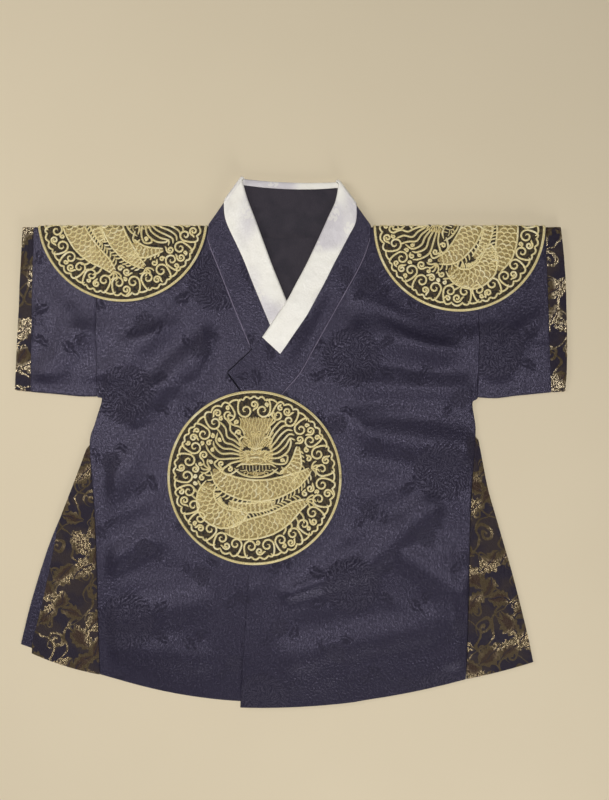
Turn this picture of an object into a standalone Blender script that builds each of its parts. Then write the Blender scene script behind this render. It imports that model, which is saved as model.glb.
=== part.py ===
"""A child's short-sleeved hanbok overcoat, laid flat on its back with its front up.

Tables and sizes are millimetres, and add_wall turns them into metres. +X is the wearer's left,
+Y runs from the hem to the collar, and the cloth lies on z = 0. Each piece is a closed wall.
"""

import math

import bpy
import numpy as np

# Driving sizes
CLOTH = 1.0          # lined satin, brocade and collar cloth
PATCH = 1.2          # embroidered roundel, before its raised work
SEAM = 0.3           # between one piece and the next
LAYER = CLOTH + SEAM
SHOULDER_Y = 190.0   # axis of the fold along the shoulders and the sleeve tops
TURNED_UNDER = 2.0   # how far a front reaches under itself past that fold
NECK_Y = 182.0       # seam between the back and the middle of the collar
NECK_RISE = 5.5      # how far that seam rises towards the shoulders
STRIP_WIDTH = 22.0   # white collar strip on the outside
STRIP_TURNED_IN = 7.0

# Height of the middle of each lowest layer of cloth
BACK_Z = CLOTH / 2
FRONT_Z = BACK_Z + LAYER
PATCH_BACK_Z = PATCH / 2
PATCH_LIFT = PATCH + SEAM            # a shoulder roundel's back half lies under the cloth
PATCH_FRONT_Z = FRONT_Z + PATCH_LIFT + CLOTH / 2 + SEAM + PATCH / 2
PATCH_TURN = (PATCH_FRONT_Z - PATCH_BACK_Z) / 2

# Shoulder roundels: centre x, how far the centre lies behind the shoulder fold, radius
SHOULDER_PATCHES = {
    "medallion_right": (-148.8, 6.8, 75.4),
    "medallion_left": (149.4, -1.2, 76.1),
}
# Front roundel: centre x, centre y, radius
FRONT_PATCH = (-32.2, -31.2, 77.3)
# Raised edge of a roundel: distance in from its rim, height
RAISED_RIM = ((0.0, 0.0), (1.4, 0.7), (3.0, 0.7), (4.6, 0.0), (7.6, 0.0), (10.0, 0.45))
PATCH_ROWS = 20

# Cloth stays level this far out from a shoulder roundel, then comes down over the second width
BACK_LEVEL, BACK_RAMP = 14.0, 18.0
FRONT_LEVEL, FRONT_RAMP = 28.0, 20.0
FOLD_CLEAR, FOLD_RAMP = 16.0, 15.0

# The left front lies one layer up as far as this line, and comes down over the step
LAP_X = 51.0
LAP_STEP = 22.0

# Soft folds of the front: x0, y0, x1, y1, height, half width
FOLDS = (
    (-72, 88, -138, 28, 4.5, 10),
    (-116, 108, -166, 52, 3.2, 11),
    (-122, -6, -168, -40, 4.0, 14),
    (-112, -78, -166, -108, 4.2, 9),
    (-76, -140, -160, -158, 3.0, 12),
    (-70, -192, -150, -182, 2.2, 10),
    (40, 98, 132, 84, 3.6, 12),
    (62, 52, 158, 46, 2.6, 9),
    (56, 10, 158, -6, 4.0, 12),
    (2, -128, 62, -112, 4.6, 9),
    (62, -112, 122, -58, 5.0, 10),
    (96, -96, 148, -132, 3.0, 9),
    (6, -188, 118, -164, 2.8, 12),
    (136, -96, 144, -194, 2.6, 8),
    (-216, 62, -180, 108, 2.6, 10),
    (208, 112, 184, 62, 2.6, 10),
)

# Panels as sections from the inner to the outer edge, from the shoulder to the hem:
# inner x, inner y, outer x, outer y, how far the section's middle hangs below its ends
FRONT_LEFT = (
    (73.6, 190.0, 167.2, 190.0, 0),
    (66.5, 176.0, 167.1, 172.0, 0),
    (58.2, 158.5, 167.0, 150.0, 0),
    (44.5, 134.0, 166.9, 128.0, 0),
    (31.0, 110.0, 166.8, 104.0, 0),
    (17.5, 86.5, 166.8, 82.0, 0),
    (4.5, 64.0, 166.7, 60.0, 0),
    (-11.0, 45.5, 166.6, 47.0, 0),
    (-28.0, 24.5, 166.4, 39.8, 0),
    (-29.2, 8.0, 161.4, 34.6, 0),
    (-30.2, -8.0, 164.2, 14.0, 0),
    (-31.6, -30.0, 163.5, -4.0, 0),
    (-33.4, -60.0, 161.0, -36.0, 0),
    (-35.4, -90.0, 159.6, -70.0, 0),
    (-37.4, -122.0, 158.6, -105.0, 0),
    (-39.8, -155.0, 157.6, -140.0, 1.5),
    (-42.4, -195.0, 156.8, -175.0, 4.0),
    (-44.7, -235.2, 155.6, -210.6, 7.6),
)
FRONT_RIGHT = (
    (-75.0, 190.0, -172.3, 190.0, 0),
    (-69.5, 174.0, -172.3, 172.0, 0),
    (-60.0, 157.2, -172.4, 150.0, 0),
    (-53.2, 140.0, -172.4, 128.0, 0),
    (-43.5, 115.0, -172.4, 104.0, 0),
    (-33.5, 90.5, -172.5, 82.0, 0),
    (-20.0, 62.0, -172.5, 60.0, 0),
    (0.0, 36.0, -172.3, 41.5, 0),
    (24.0, 16.0, -167.9, 38.2, 0),
    (43.0, -8.0, -174.0, 17.3, 0),
    (44.0, -32.0, -178.8, 0.0, 0),
    (44.0, -60.0, -176.6, -35.0, 0),
    (44.0, -90.0, -174.2, -70.0, 0),
    (44.2, -122.0, -172.8, -105.0, 0),
    (44.6, -155.0, -171.9, -140.0, 2.5),
    (45.0, -192.0, -171.0, -172.0, 6.0),
    (45.0, -227.0, -169.8, -206.0, 11.0),
)
BACK_LEFT = (
    (0.2, 181.1, 167.2, 181.1, 0),
    (0.2, 162.0, 167.1, 160.0, 0),
    (0.2, 142.0, 167.0, 140.0, 0),
    (0.2, 122.0, 166.9, 120.0, 0),
    (0.2, 102.0, 166.8, 100.0, 0),
    (0.2, 82.0, 166.7, 80.0, 0),
    (0.2, 60.0, 166.6, 58.0, 0),
    (0.2, 46.0, 166.4, 39.8, 0),
    (0.2, 34.6, 161.4, 34.6, 0),
    (0.2, 14.0, 164.2, 14.0, 0),
    (0.2, -4.0, 163.5, -4.0, 0),
    (0.2, -40.0, 160.9, -38.0, 0),
    (0.2, -82.0, 159.2, -80.0, 0),
    (0.2, -124.0, 158.0, -120.0, 0),
    (0.2, -165.0, 157.0, -155.0, 2.0),
    (0.2, -200.0, 156.4, -184.0, 3.6),
    (0.2, -231.0, 155.6, -207.0, 4.6),
)
BACK_RIGHT = (
    (-0.2, 181.1, -172.3, 181.1, 0),
    (-0.2, 162.0, -172.3, 160.0, 0),
    (-0.2, 142.0, -172.4, 140.0, 0),
    (-0.2, 122.0, -172.4, 120.0, 0),
    (-0.2, 102.0, -172.4, 100.0, 0),
    (-0.2, 82.0, -172.5, 80.0, 0),
    (-0.2, 60.0, -172.5, 58.0, 0),
    (-0.2, 46.0, -172.3, 41.5, 0),
    (-0.2, 38.2, -167.9, 38.2, 0),
    (-0.2, 17.3, -174.0, 17.3, 0),
    (-0.2, 0.0, -178.8, 0.0, 0),
    (-0.2, -40.0, -176.2, -40.0, 0),
    (-0.2, -82.0, -173.7, -80.0, 0),
    (-0.2, -124.0, -172.4, -120.0, 0),
    (-0.2, -165.0, -171.5, -155.0, 3.0),
    (-0.2, -200.0, -170.6, -182.0, 5.5),
    (-0.2, -231.0, -169.6, -206.4, 8.2),
)
BACK_LINING = (
    (-33.0, 181.7, 33.0, 181.7, 0),
    (-31.0, 160.0, 30.0, 160.0, 0),
    (-27.0, 138.0, 25.0, 138.0, 0),
    (-20.0, 114.0, 18.0, 114.0, 0),
)
GORE_FRONT_LEFT = (
    (164.5, 5.0, 166.9, 2.0, 0),
    (162.9, -17.0, 170.9, -19.0, 0),
    (161.5, -40.4, 175.5, -42.1, 0),
    (160.4, -65.0, 182.3, -66.0, 0),
    (159.8, -90.0, 189.3, -90.0, 0),
    (159.1, -115.0, 196.5, -115.0, 0),
    (158.4, -143.0, 203.9, -143.5, 0),
    (157.6, -174.0, 211.0, -173.0, 0),
    (156.4, -210.4, 215.6, -195.3, 1.0),
)
GORE_BACK_LEFT = (
    (164.5, 5.0, 166.7, 2.0, 0),
    (161.6, -40.4, 174.7, -42.1, 0),
    (159.9, -90.0, 188.3, -90.0, 0),
    (158.4, -143.0, 202.9, -143.5, 0),
    (156.6, -207.0, 214.4, -193.0, 1.0),
)
GORE_FRONT_RIGHT = (
    (-179.3, -2.5, -182.0, -6.5, 0),
    (-178.0, -22.0, -189.2, -26.0, 0),
    (-176.6, -43.5, -198.4, -50.0, 0),
    (-174.9, -68.0, -206.2, -71.0, 0),
    (-173.9, -92.0, -210.7, -94.3, 0),
    (-173.1, -116.0, -215.6, -118.0, 0),
    (-172.4, -144.0, -222.0, -147.0, 0),
    (-171.6, -172.0, -229.4, -176.0, 0),
    (-170.3, -206.4, -230.4, -187.6, 2.0),
)
GORE_BACK_RIGHT = (
    (-179.3, -2.5, -181.9, -6.5, 0),
    (-176.7, -43.5, -198.4, -50.0, 0),
    (-174.0, -92.0, -215.8, -92.5, 0),
    (-172.4, -140.0, -231.0, -141.0, 0),
    (-170.4, -205.2, -240.7, -180.0, 0),
)

# Sleeves and cuffs from the armhole out: x at the top fold, x at the bottom seam, y of that seam
SLEEVE_LEFT = ((167.6, 167.1, 41.0), (182.0, 183.0, 40.4), (197.0, 199.5, 42.4), (211.0, 215.5, 44.0),
               (225.8, 231.6, 45.6))
CUFF_LEFT = ((226.2, 232.0, 45.6), (232.6, 238.4, 46.0), (239.4, 244.2, 46.3))
SLEEVE_RIGHT = ((-172.7, -173.0, 41.8), (-186.5, -187.5, 42.0), (-200.5, -202.5, 43.4),
                (-214.5, -217.5, 44.8), (-228.0, -231.4, 46.0))
CUFF_RIGHT = ((-228.4, -231.8, 46.2), (-233.2, -238.4, 46.8), (-237.8, -245.4, 47.6))
CUFF_BOW = 3.2       # how far the open edge of the left cuff bows out at half height
TUBE_HEIGHTS = (0.0, 0.08, 0.2, 0.32, 0.44, 0.56, 0.68, 0.8, 0.92, 1.0)

# Collar from the neck fold down each front: inner x, inner y, outer x, outer y, height of the inner half
COLLAR_RIGHT = (
    (-43.9, 236.3, -72.4, 194.7, 5.7),
    (-38.5, 217.0, -73.6, 184.5, 4.9),
    (-31.1, 197.4, -71.0, 173.5, 4.5),
    (-23.8, 177.5, -64.5, 157.2, 4.4),
    (-16.3, 157.2, -57.2, 138.5, 4.4),
    (-9.5, 140.3, -50.5, 121.5, 4.4),
    (-3.8, 126.2, -43.5, 104.5, 4.4),
    (2.5, 110.5, -36.0, 86.3, 4.4),
    (9.0, 94.0, -28.0, 66.0, 4.4),
)
COLLAR_LEFT = (
    (42.8, 233.6, 71.2, 193.0, 5.7),
    (39.7, 214.7, 70.0, 181.5, 4.9),
    (33.0, 199.5, 65.8, 168.0, 4.5),
    (23.5, 178.5, 59.0, 153.0, 4.9),
    (13.5, 157.2, 49.5, 136.0, 6.0),
    (5.0, 141.0, 40.0, 119.1, 7.4),
    (-3.3, 125.3, 30.6, 102.3, 8.3),
    (-14.0, 109.5, 20.0, 83.4, 8.3),
    (-25.3, 93.2, 8.2, 62.2, 7.0),
    (-35.1, 81.5, -3.0, 49.0, 5.4),
    (-45.5, 71.5, -14.5, 35.5, 4.2),
    (-55.8, 62.2, -26.6, 21.2, 3.4),
)
STRIP_RIGHT_LAST = 7     # station where the white strip ends, hidden under the left band
STRIP_LEFT_LAST = 8      # station where the white strip ends in the open
COLLAR_ACROSS = (0.0, 0.2, 0.5, 0.7, 0.9, 1.0)
COLLAR_OVER_PANEL = LAYER + 0.15
COLLAR_BACK_INNER_Z = BACK_Z + LAYER
BACK_COLLAR_ROWS = 10
NECK_DIP = 3.2           # how far the collar's back edge dips at its middle
STRIP_EDGE = LAYER + CLOTH / 2
TURN_ANGLES = np.radians((45.0, 90.0, 135.0))


def smooth(t):
    """0 up to t = 0 and 1 from t = 1, level at both ends."""
    t = np.clip(t, 0.0, 1.0)
    return t * t * (3.0 - 2.0 * t)


def patch_lift(x, y, side, level, ramp):
    """How far cloth stands up over the back halves of the shoulder roundels; side is 1 on the front."""
    lift = np.zeros(np.shape(x))
    for centre_x, behind, radius in SHOULDER_PATCHES.values():
        away = np.hypot(x - centre_x, y - SHOULDER_Y - side * behind) - radius
        lift = np.maximum(lift, PATCH_LIFT * (1.0 - smooth((away - level) / ramp)))
    return lift


def distance_to_line(x, y, points):
    """Distance in plan to the line through the points."""
    nearest = np.full(np.shape(x), 1e6)
    for (ax, ay), (bx, by) in zip(points[:-1], points[1:]):
        dx, dy = bx - ax, by - ay
        along = np.clip(((x - ax) * dx + (y - ay) * dy) / (dx * dx + dy * dy), 0.0, 1.0)
        nearest = np.minimum(nearest, np.hypot(x - ax - along * dx, y - ay - along * dy))
    return nearest


def quiet_zones(x, y):
    """1 where cloth may fold, falling to 0 at the roundels, the collar, the side seams and the hem."""
    quiet = np.ones(np.shape(x))
    discs = [(cx, SHOULDER_Y + behind, r) for cx, behind, r in SHOULDER_PATCHES.values()] + [FRONT_PATCH]
    for centre_x, centre_y, radius in discs:
        away = np.hypot(x - centre_x, y - centre_y) - radius
        quiet = quiet * smooth((away - FOLD_CLEAR) / FOLD_RAMP)
    end = COLLAR_LEFT[-1]
    seams = [[row[2:4] for row in COLLAR_RIGHT], [row[2:4] for row in COLLAR_LEFT], [end[:2], end[2:4]]]
    for seam in seams:
        quiet = quiet * smooth((distance_to_line(x, y, seam) - 12.0) / 14.0)
    hem_y = -232.0 + 26.0 * (x / 170.0) ** 2
    quiet = quiet * smooth((y - hem_y) / 24.0)
    under_arm = smooth((66.0 - y) / 20.0)
    side_seam = smooth(np.abs(np.abs(x) - 168.0) / 16.0)
    sleeve_seam = np.where(np.abs(x) > 166.0, smooth((y - 48.0) / 14.0), 1.0)
    return quiet * (1.0 + under_arm * (side_seam - 1.0)) * sleeve_seam


def fold_height(x, y):
    """Rounded ridges along the lines of FOLDS."""
    height = np.zeros(np.shape(x))
    for x0, y0, x1, y1, rise, half_width in FOLDS:
        away = distance_to_line(x, y, ((x0, y0), (x1, y1)))
        height = np.maximum(height, rise * (1.0 - smooth(away / (2.0 * half_width))))
    return height * quiet_zones(x, y)


def front_z(x, y):
    """Middle of the front layer, smooth and without folds."""
    return FRONT_Z + patch_lift(x, y, 1, FRONT_LEVEL, FRONT_RAMP)


def outer_front_z(x, y):
    return front_z(x, y) + fold_height(x, y)


def right_front_z(x, y):
    """The right front is smooth where the left one lies on it."""
    return front_z(x, y) + fold_height(x, y) * smooth((-64.0 - x) / 18.0)


def left_front_z(x, y):
    return outer_front_z(x, y) + LAYER * (1.0 - smooth((x - LAP_X) / LAP_STEP))


def back_z(x, y):
    return BACK_Z + patch_lift(x, y, -1, BACK_LEVEL, BACK_RAMP)


def front_patch_z(x, y):
    """Middle of the front roundel: over the lap, over the collar's end, and down to the right front."""
    over_right = FRONT_Z + CLOTH / 2 + SEAM + PATCH / 2
    return over_right + LAYER * smooth((x + 66.0) / 20.0) + 1.5 * smooth((y - 2.0) / 15.0)


def neck_seam_y(x):
    """The seam of the back and the collar, level in the middle and rising to the shoulders."""
    return NECK_Y + NECK_RISE * smooth((np.abs(x) - 30.0) / 38.0)


def add_wall(name, material, middle, normals, outward, inward, closed=False):
    """Closes a wall round a grid of points: its face, its inside and a rim along each open edge."""
    rows, columns = middle.shape[:2]
    faces = []
    for i in range(rows - 1):
        for j in range(columns if closed else columns - 1):
            k = (j + 1) % columns
            faces.append((i * columns + j, i * columns + k, (i + 1) * columns + k, (i + 1) * columns + j))
    across, along = middle[0, 1] - middle[0, 0], middle[1, 0] - middle[0, 0]
    if np.dot(np.cross(across, along), normals[0, 0]) < 0:
        faces = [face[::-1] for face in faces]
    count = rows * columns
    single = {}
    for face in faces:
        for edge in zip(face, face[1:] + face[:1]):
            if single.pop(edge[::-1], None) is None:
                single[edge] = True
    inside = [tuple(i + count for i in face[::-1]) for face in faces]
    rims = [(b, a, a + count, b + count) for a, b in single]
    outer = middle + normals * np.broadcast_to(outward, middle.shape[:2])[..., None]
    inner = middle - normals * inward
    points = np.concatenate([outer.reshape(-1, 3), inner.reshape(-1, 3)]) / 1000.0
    mesh = bpy.data.meshes.new(name)
    mesh.from_pydata(points.tolist(), [], faces + inside + rims)
    mesh.materials.append(material)
    mesh.shade_smooth()
    mesh.set_sharp_from_angle(angle=math.radians(40.0))
    wall = bpy.data.objects.new(name, mesh)
    wall.parent = garment
    bpy.context.scene.collection.objects.link(wall)


def finer(table, steps):
    """The rows of a table with evenly spaced rows between them."""
    table = np.array(table, float)
    at = np.linspace(0.0, len(table) - 1.0, (len(table) - 1) * steps + 1)
    return np.stack([np.interp(at, np.arange(len(table)), column) for column in table.T], axis=1)


def turn_rows(x, y_end, front, back):
    """Rows that carry a front over the shoulder fold and a little way under itself."""
    radius, centre = (front - back) / 2, (front + back) / 2
    rows = [np.stack([x, np.full(x.shape, y_end), back], axis=1)]
    normals = [np.tile((0.0, 0.0, -1.0), (len(x), 1))]
    for angle in (math.pi, *TURN_ANGLES[::-1]):
        arc = (x, SHOULDER_Y + radius * math.sin(angle), centre + radius * math.cos(angle))
        rows.append(np.stack(arc, axis=1))
        normals.append(np.tile((0.0, math.sin(angle), math.cos(angle)), (len(x), 1)))
    return np.array(rows), np.array(normals)


def add_panel(name, material, sections, level, steps, columns, neck=False, shoulder=False):
    """A panel laid flat, at the height that level gives, with an even number of columns across."""
    table = finer(sections, steps)
    share = np.linspace(0.0, 1.0, columns + 1)
    x = table[:, :1] + (table[:, 2:3] - table[:, :1]) * share
    y = table[:, 1:2] + (table[:, 3:4] - table[:, 1:2]) * share - table[:, 4:5] * 4.0 * share * (1.0 - share)
    if neck:
        y = y + (neck_seam_y(x) - NECK_Y) * (1.0 - smooth((NECK_Y - y) / 60.0))
    middle = np.stack([x, y, level(x, y)], axis=2)
    normals = np.zeros(middle.shape)
    normals[..., 2] = 1.0
    if shoulder:
        turned = turn_rows(x[0], SHOULDER_Y - TURNED_UNDER, middle[0, :, 2], back_z(x[0], y[0]))
        middle = np.concatenate([turned[0], middle])
        normals = np.concatenate([turned[1], normals])
    add_wall(name, material, middle[::-1], normals[::-1], CLOTH / 2, CLOTH / 2)


def add_tube(name, material, sections, steps, bow=0.0):
    """A flattened tube of cloth: up the front, over the top fold, down the back, round the seam."""
    table = finer(sections, steps)
    heights = np.array(TUBE_HEIGHTS)
    rings, normals = [], []
    for number, (x_top, x_bottom, y_bottom) in enumerate(table):
        bulge = bow * number / (len(table) - 1)
        x = x_bottom + (x_top - x_bottom) * heights + bulge * 4.0 * heights * (1.0 - heights)
        y = y_bottom + (SHOULDER_Y - y_bottom) * heights
        front, back = outer_front_z(x, y), back_z(x, y)
        ring = list(zip(x, y, front))
        normal = [(0.0, 0.0, 1.0)] * len(x)
        for end, way in ((-1, 1.0), (0, -1.0)):
            radius, centre = (front[end] - back[end]) / 2, (front[end] + back[end]) / 2
            angles = TURN_ANGLES if way > 0 else TURN_ANGLES[::-1]
            for angle in angles:
                sine, cosine = way * math.sin(angle), math.cos(angle)
                ring.append((x[end], y[end] + radius * sine, centre + radius * cosine))
                normal.append((0.0, sine, cosine))
            if way > 0:
                ring += list(zip(x[::-1], y[::-1], back[::-1]))
                normal += [(0.0, 0.0, -1.0)] * len(x)
        rings.append(ring)
        normals.append(normal)
    add_wall(name, material, np.array(rings), np.array(normals), CLOTH / 2, CLOTH / 2, closed=True)


def neck_turn(table, across_angles):
    """Rows of the collar round its fold at one side of the neck, front side first."""
    inner, outer = np.array(table[0][:2]), np.array(table[0][2:4])
    edge = (inner - outer) / np.linalg.norm(inner - outer)
    outward = np.array((-edge[1], edge[0])) * (1.0 if inner[0] < 0 else -1.0)
    front = (table[0][4], collar_outer_z(outer))
    back = (COLLAR_BACK_INNER_Z, BACK_Z)
    insets = (STRIP_EDGE, CLOTH / 2)
    rows = []
    for angle in across_angles:
        ends = []
        for point, top, low, inset in zip((inner, outer), front, back, insets):
            radius = (top - low) / 2
            in_plan = point + outward * (radius * (math.sin(angle) - 1.0) - inset)
            ends.append((*in_plan, (top + low) / 2 + radius * math.cos(angle)))
        normal = (*(outward * math.sin(angle)), math.cos(angle))
        rows.append((ends[0], ends[1], normal))
    return rows


def collar_outer_z(point):
    """The seam edge of the collar lies on the front that it is sewn to."""
    level = right_front_z if point[0] < -27.0 and point[1] > 60.0 else left_front_z
    return float(level(np.array(point[0]), np.array(point[1]))) + COLLAR_OVER_PANEL


def front_rows(table):
    """Rows of the collar down one front, from just past its neck fold to its end."""
    rows = []
    for x_in, y_in, x_out, y_out, z_in in finer(table, 2)[1:]:
        rows.append(((x_in, y_in, z_in), (x_out, y_out, collar_outer_z((x_out, y_out))), (0.0, 0.0, 1.0)))
    return rows


def collar_path():
    """All rows of the collar, right end to left end: inner and outer points, and the cloth's normal."""
    half_turn = np.radians((0.0, 36.0, 72.0, 108.0, 144.0, 180.0))
    right, left = neck_turn(COLLAR_RIGHT, half_turn), neck_turn(COLLAR_LEFT, half_turn)[::-1]
    back = []
    for share in np.linspace(0.0, 1.0, BACK_COLLAR_ROWS + 1)[1:-1]:
        start, end = np.array(right[-1][:2]), np.array(left[0][:2])
        inner, outer = start + (end - start) * share
        inner[1] -= NECK_DIP * 4.0 * share * (1.0 - share)
        outer[1] = neck_seam_y(outer[0])
        back.append((tuple(inner), tuple(outer), (0.0, 0.0, -1.0)))
    rows = front_rows(COLLAR_RIGHT)[::-1] + right + back + left + front_rows(COLLAR_LEFT)
    return [np.array(part) for part in zip(*rows)]


def across_collar(inner, outer, share):
    """Points at a share of the collar's width; its inner half is level and its outer half comes down."""
    points = inner + (outer - inner) * share[..., None]
    points[..., 2] = inner[..., 2] + (outer[..., 2] - inner[..., 2]) * smooth((share - 0.5) / 0.4)
    return points


def level_edge(inner, outer):
    """Unit vectors in plan that point out of the collar's inner edge."""
    edge = (inner - outer) * (1.0, 1.0, 0.0)
    return edge / np.linalg.norm(edge, axis=1)[:, None]


def add_collar(material):
    inner, outer, normals = collar_path()
    edge = level_edge(inner, outer)
    first, last = strip_rows(len(inner))
    inset = np.zeros(len(inner))
    inset[first:last + 1] = STRIP_EDGE
    inner = inner - edge * inset[:, None]
    across = np.array(COLLAR_ACROSS)
    shares = np.broadcast_to(across, (len(inner), len(across)))
    middle = across_collar(inner[:, None], outer[:, None], shares)
    normals = np.repeat(normals[:, None], len(across), axis=1)
    add_wall("collar", material, middle, normals, CLOTH / 2, CLOTH / 2)


def strip_rows(count):
    """First and last row of the collar that carry the white strip."""
    first = (len(COLLAR_RIGHT) - 1 - STRIP_RIGHT_LAST) * 2
    last = count - 1 - (len(COLLAR_LEFT) - 1 - STRIP_LEFT_LAST) * 2
    return first, last


def add_strip(material):
    """The white strip: over the collar's outside, round its inner edge and a little way back inside."""
    inner, outer, normals = collar_path()
    first, last = strip_rows(len(inner))
    inner, outer, normals = inner[first:last + 1], outer[first:last + 1], normals[first:last + 1]
    width = np.linalg.norm(inner - outer, axis=1)[:, None]
    edge = level_edge(inner, outer)
    inner = inner - edge * STRIP_EDGE
    face = np.array((STRIP_WIDTH - STRIP_EDGE, 13.0, 6.0, 0.0))
    flap = np.array((0.0, STRIP_TURNED_IN - STRIP_EDGE))
    middle, outward = [], []
    for distance in face:
        on_collar = across_collar(inner, outer, np.full(len(inner), distance) / (width[:, 0] - STRIP_EDGE))
        middle.append(on_collar + normals * LAYER)
        outward.append(normals)
    for angle in TURN_ANGLES:
        turned = edge * math.sin(angle) + normals * math.cos(angle)
        middle.append(inner + turned * LAYER)
        outward.append(turned)
    for distance in flap:
        on_collar = across_collar(inner, outer, np.full(len(inner), distance) / (width[:, 0] - STRIP_EDGE))
        middle.append(on_collar - normals * LAYER)
        outward.append(-normals)
    middle, outward = np.stack(middle, axis=1), np.stack(outward, axis=1)
    add_wall("dongjeong", material, middle, outward, CLOTH / 2, CLOTH / 2)


def disc_grid(radius, fold_rows):
    """Points of a round patch as rows across it, with columns that follow its rim."""
    rim = np.array([row[0] for row in RAISED_RIM])
    along = -np.cos(np.linspace(0.0, math.pi, PATCH_ROWS + 1)) * radius
    along[0], along[-1] = -0.999 * radius, 0.999 * radius
    ends = np.concatenate([rim[1:4] - radius, radius - rim[1:4]])
    keep = [s for s in along if len(fold_rows) == 0 or np.abs(np.array(fold_rows) - s).min() > 3.0]
    keep = [s for s in keep if abs(s) > 0.99 * radius or abs(s) < radius - rim[4]]
    s = np.sort(np.concatenate([keep, ends, fold_rows]))
    half = np.sqrt(radius ** 2 - s ** 2)
    columns = []
    for number, inset in enumerate(rim):
        least = half * (1.0 - 0.11 * number)
        columns.append(np.sqrt(np.maximum((radius - inset) ** 2 - s ** 2, least ** 2 * (number > 0))))
        columns[-1] = np.minimum(np.maximum(columns[-1], 0.0), half if number == 0 else columns[-2] * 0.995)
    inner = columns[-1]
    middle = [inner * share for share in (0.62, 0.22)]
    right = np.stack(columns + middle, axis=1)
    x = np.concatenate([right, -right[:, ::-1]], axis=1)
    return x, np.repeat(s[:, None], x.shape[1], axis=1)


def add_roundel(name, material, radius, place, fold_rows=()):
    """A round embroidered patch, raised at its rim and over its figure."""
    x, s = disc_grid(radius, np.array(fold_rows))
    inset = radius - np.hypot(x, s)
    middle, normals = place(x, s)
    raised = np.interp(inset, *np.array(RAISED_RIM).T) * np.clip(normals[..., 2], 0.0, 1.0)
    add_wall(name, material, middle, normals, PATCH / 2 + raised, PATCH / 2)


def place_on_front(x, s):
    """Lays the front roundel on the lap, with s up the garment."""
    x, y = x + FRONT_PATCH[0], s + FRONT_PATCH[1]
    normals = np.zeros(x.shape + (3,))
    normals[..., 2] = 1.0
    return np.stack([x, y, front_patch_z(x, y)], axis=2), normals


def place_on_shoulder(centre_x, behind):
    """Folds a roundel over the shoulder, with s down the front of the cut."""
    half_arc = PATCH_TURN * math.pi / 2
    centre_z = (PATCH_FRONT_Z + PATCH_BACK_Z) / 2

    def place(x, s):
        past_fold = s - behind
        angle = np.clip(past_fold / PATCH_TURN, -math.pi / 2, math.pi / 2)
        flat = np.maximum(np.abs(past_fold) - half_arc, 0.0)
        y = SHOULDER_Y + PATCH_TURN * np.cos(angle) - flat
        z = centre_z + PATCH_TURN * np.sin(angle)
        normals = np.stack([np.zeros(x.shape), np.cos(angle), np.sin(angle)], axis=2)
        return np.stack([x + centre_x, y, z], axis=2), normals

    return place


def add_shoulder_roundels(material):
    for name, (centre_x, behind, radius) in SHOULDER_PATCHES.items():
        arc = np.linspace(-math.pi / 2, math.pi / 2, 5) * PATCH_TURN + behind
        add_roundel(name, material(name), radius, place_on_shoulder(centre_x, behind), arc)


def cloth_material(name, colour, roughness, metallic=0.0):
    material = bpy.data.materials.new(name)
    material.use_nodes = True
    shader = material.node_tree.nodes["Principled BSDF"]
    shader.inputs["Base Color"].default_value = (*colour, 1.0)
    shader.inputs["Roughness"].default_value = roughness
    shader.inputs["Metallic"].default_value = metallic
    material.diffuse_color = (*colour, 1.0)
    return material


def satin(name):
    return cloth_material(name, (0.032, 0.031, 0.048), 0.42)


def brocade(name):
    return cloth_material(name, (0.075, 0.050, 0.036), 0.38, 0.25)


def gold_thread(name):
    return cloth_material(name, (0.46, 0.35, 0.12), 0.45, 0.2)


for old in list(bpy.data.objects):
    bpy.data.objects.remove(old)
garment = bpy.data.objects.new("garment", None)
bpy.context.scene.collection.objects.link(garment)

add_panel("back_left", satin("back_left"), BACK_LEFT, back_z, 1, 10, neck=True)
add_panel("back_right", satin("back_right"), BACK_RIGHT, back_z, 1, 10, neck=True)
add_panel("gore_back_left", satin("gore_back_left"), GORE_BACK_LEFT, back_z, 2, 3)
add_panel("gore_back_right", satin("gore_back_right"), GORE_BACK_RIGHT, back_z, 2, 3)
add_panel("back_lining", cloth_material("back_lining", (0.045, 0.040, 0.050), 0.6), BACK_LINING, front_z, 2, 6)
add_panel("front_right", satin("front_right"), FRONT_RIGHT, right_front_z, 2, 14, shoulder=True)
add_panel("front_left", satin("front_left"), FRONT_LEFT, left_front_z, 2, 14, shoulder=True)
add_panel("gore_front_left", brocade("gore_front_left"), GORE_FRONT_LEFT, outer_front_z, 2, 4)
add_panel("gore_front_right", brocade("gore_front_right"), GORE_FRONT_RIGHT, outer_front_z, 2, 4)
add_tube("sleeve_left", satin("sleeve_left"), SLEEVE_LEFT, 2)
add_tube("sleeve_right", satin("sleeve_right"), SLEEVE_RIGHT, 2)
add_tube("cuff_left", brocade("cuff_left"), CUFF_LEFT, 1, CUFF_BOW)
add_tube("cuff_right", brocade("cuff_right"), CUFF_RIGHT, 1)
add_collar(satin("collar"))
add_strip(cloth_material("dongjeong", (0.86, 0.80, 0.68), 0.4))
add_shoulder_roundels(gold_thread)
add_roundel("medallion_front", gold_thread("medallion_front"), FRONT_PATCH[2], place_on_front)
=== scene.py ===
import math

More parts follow.
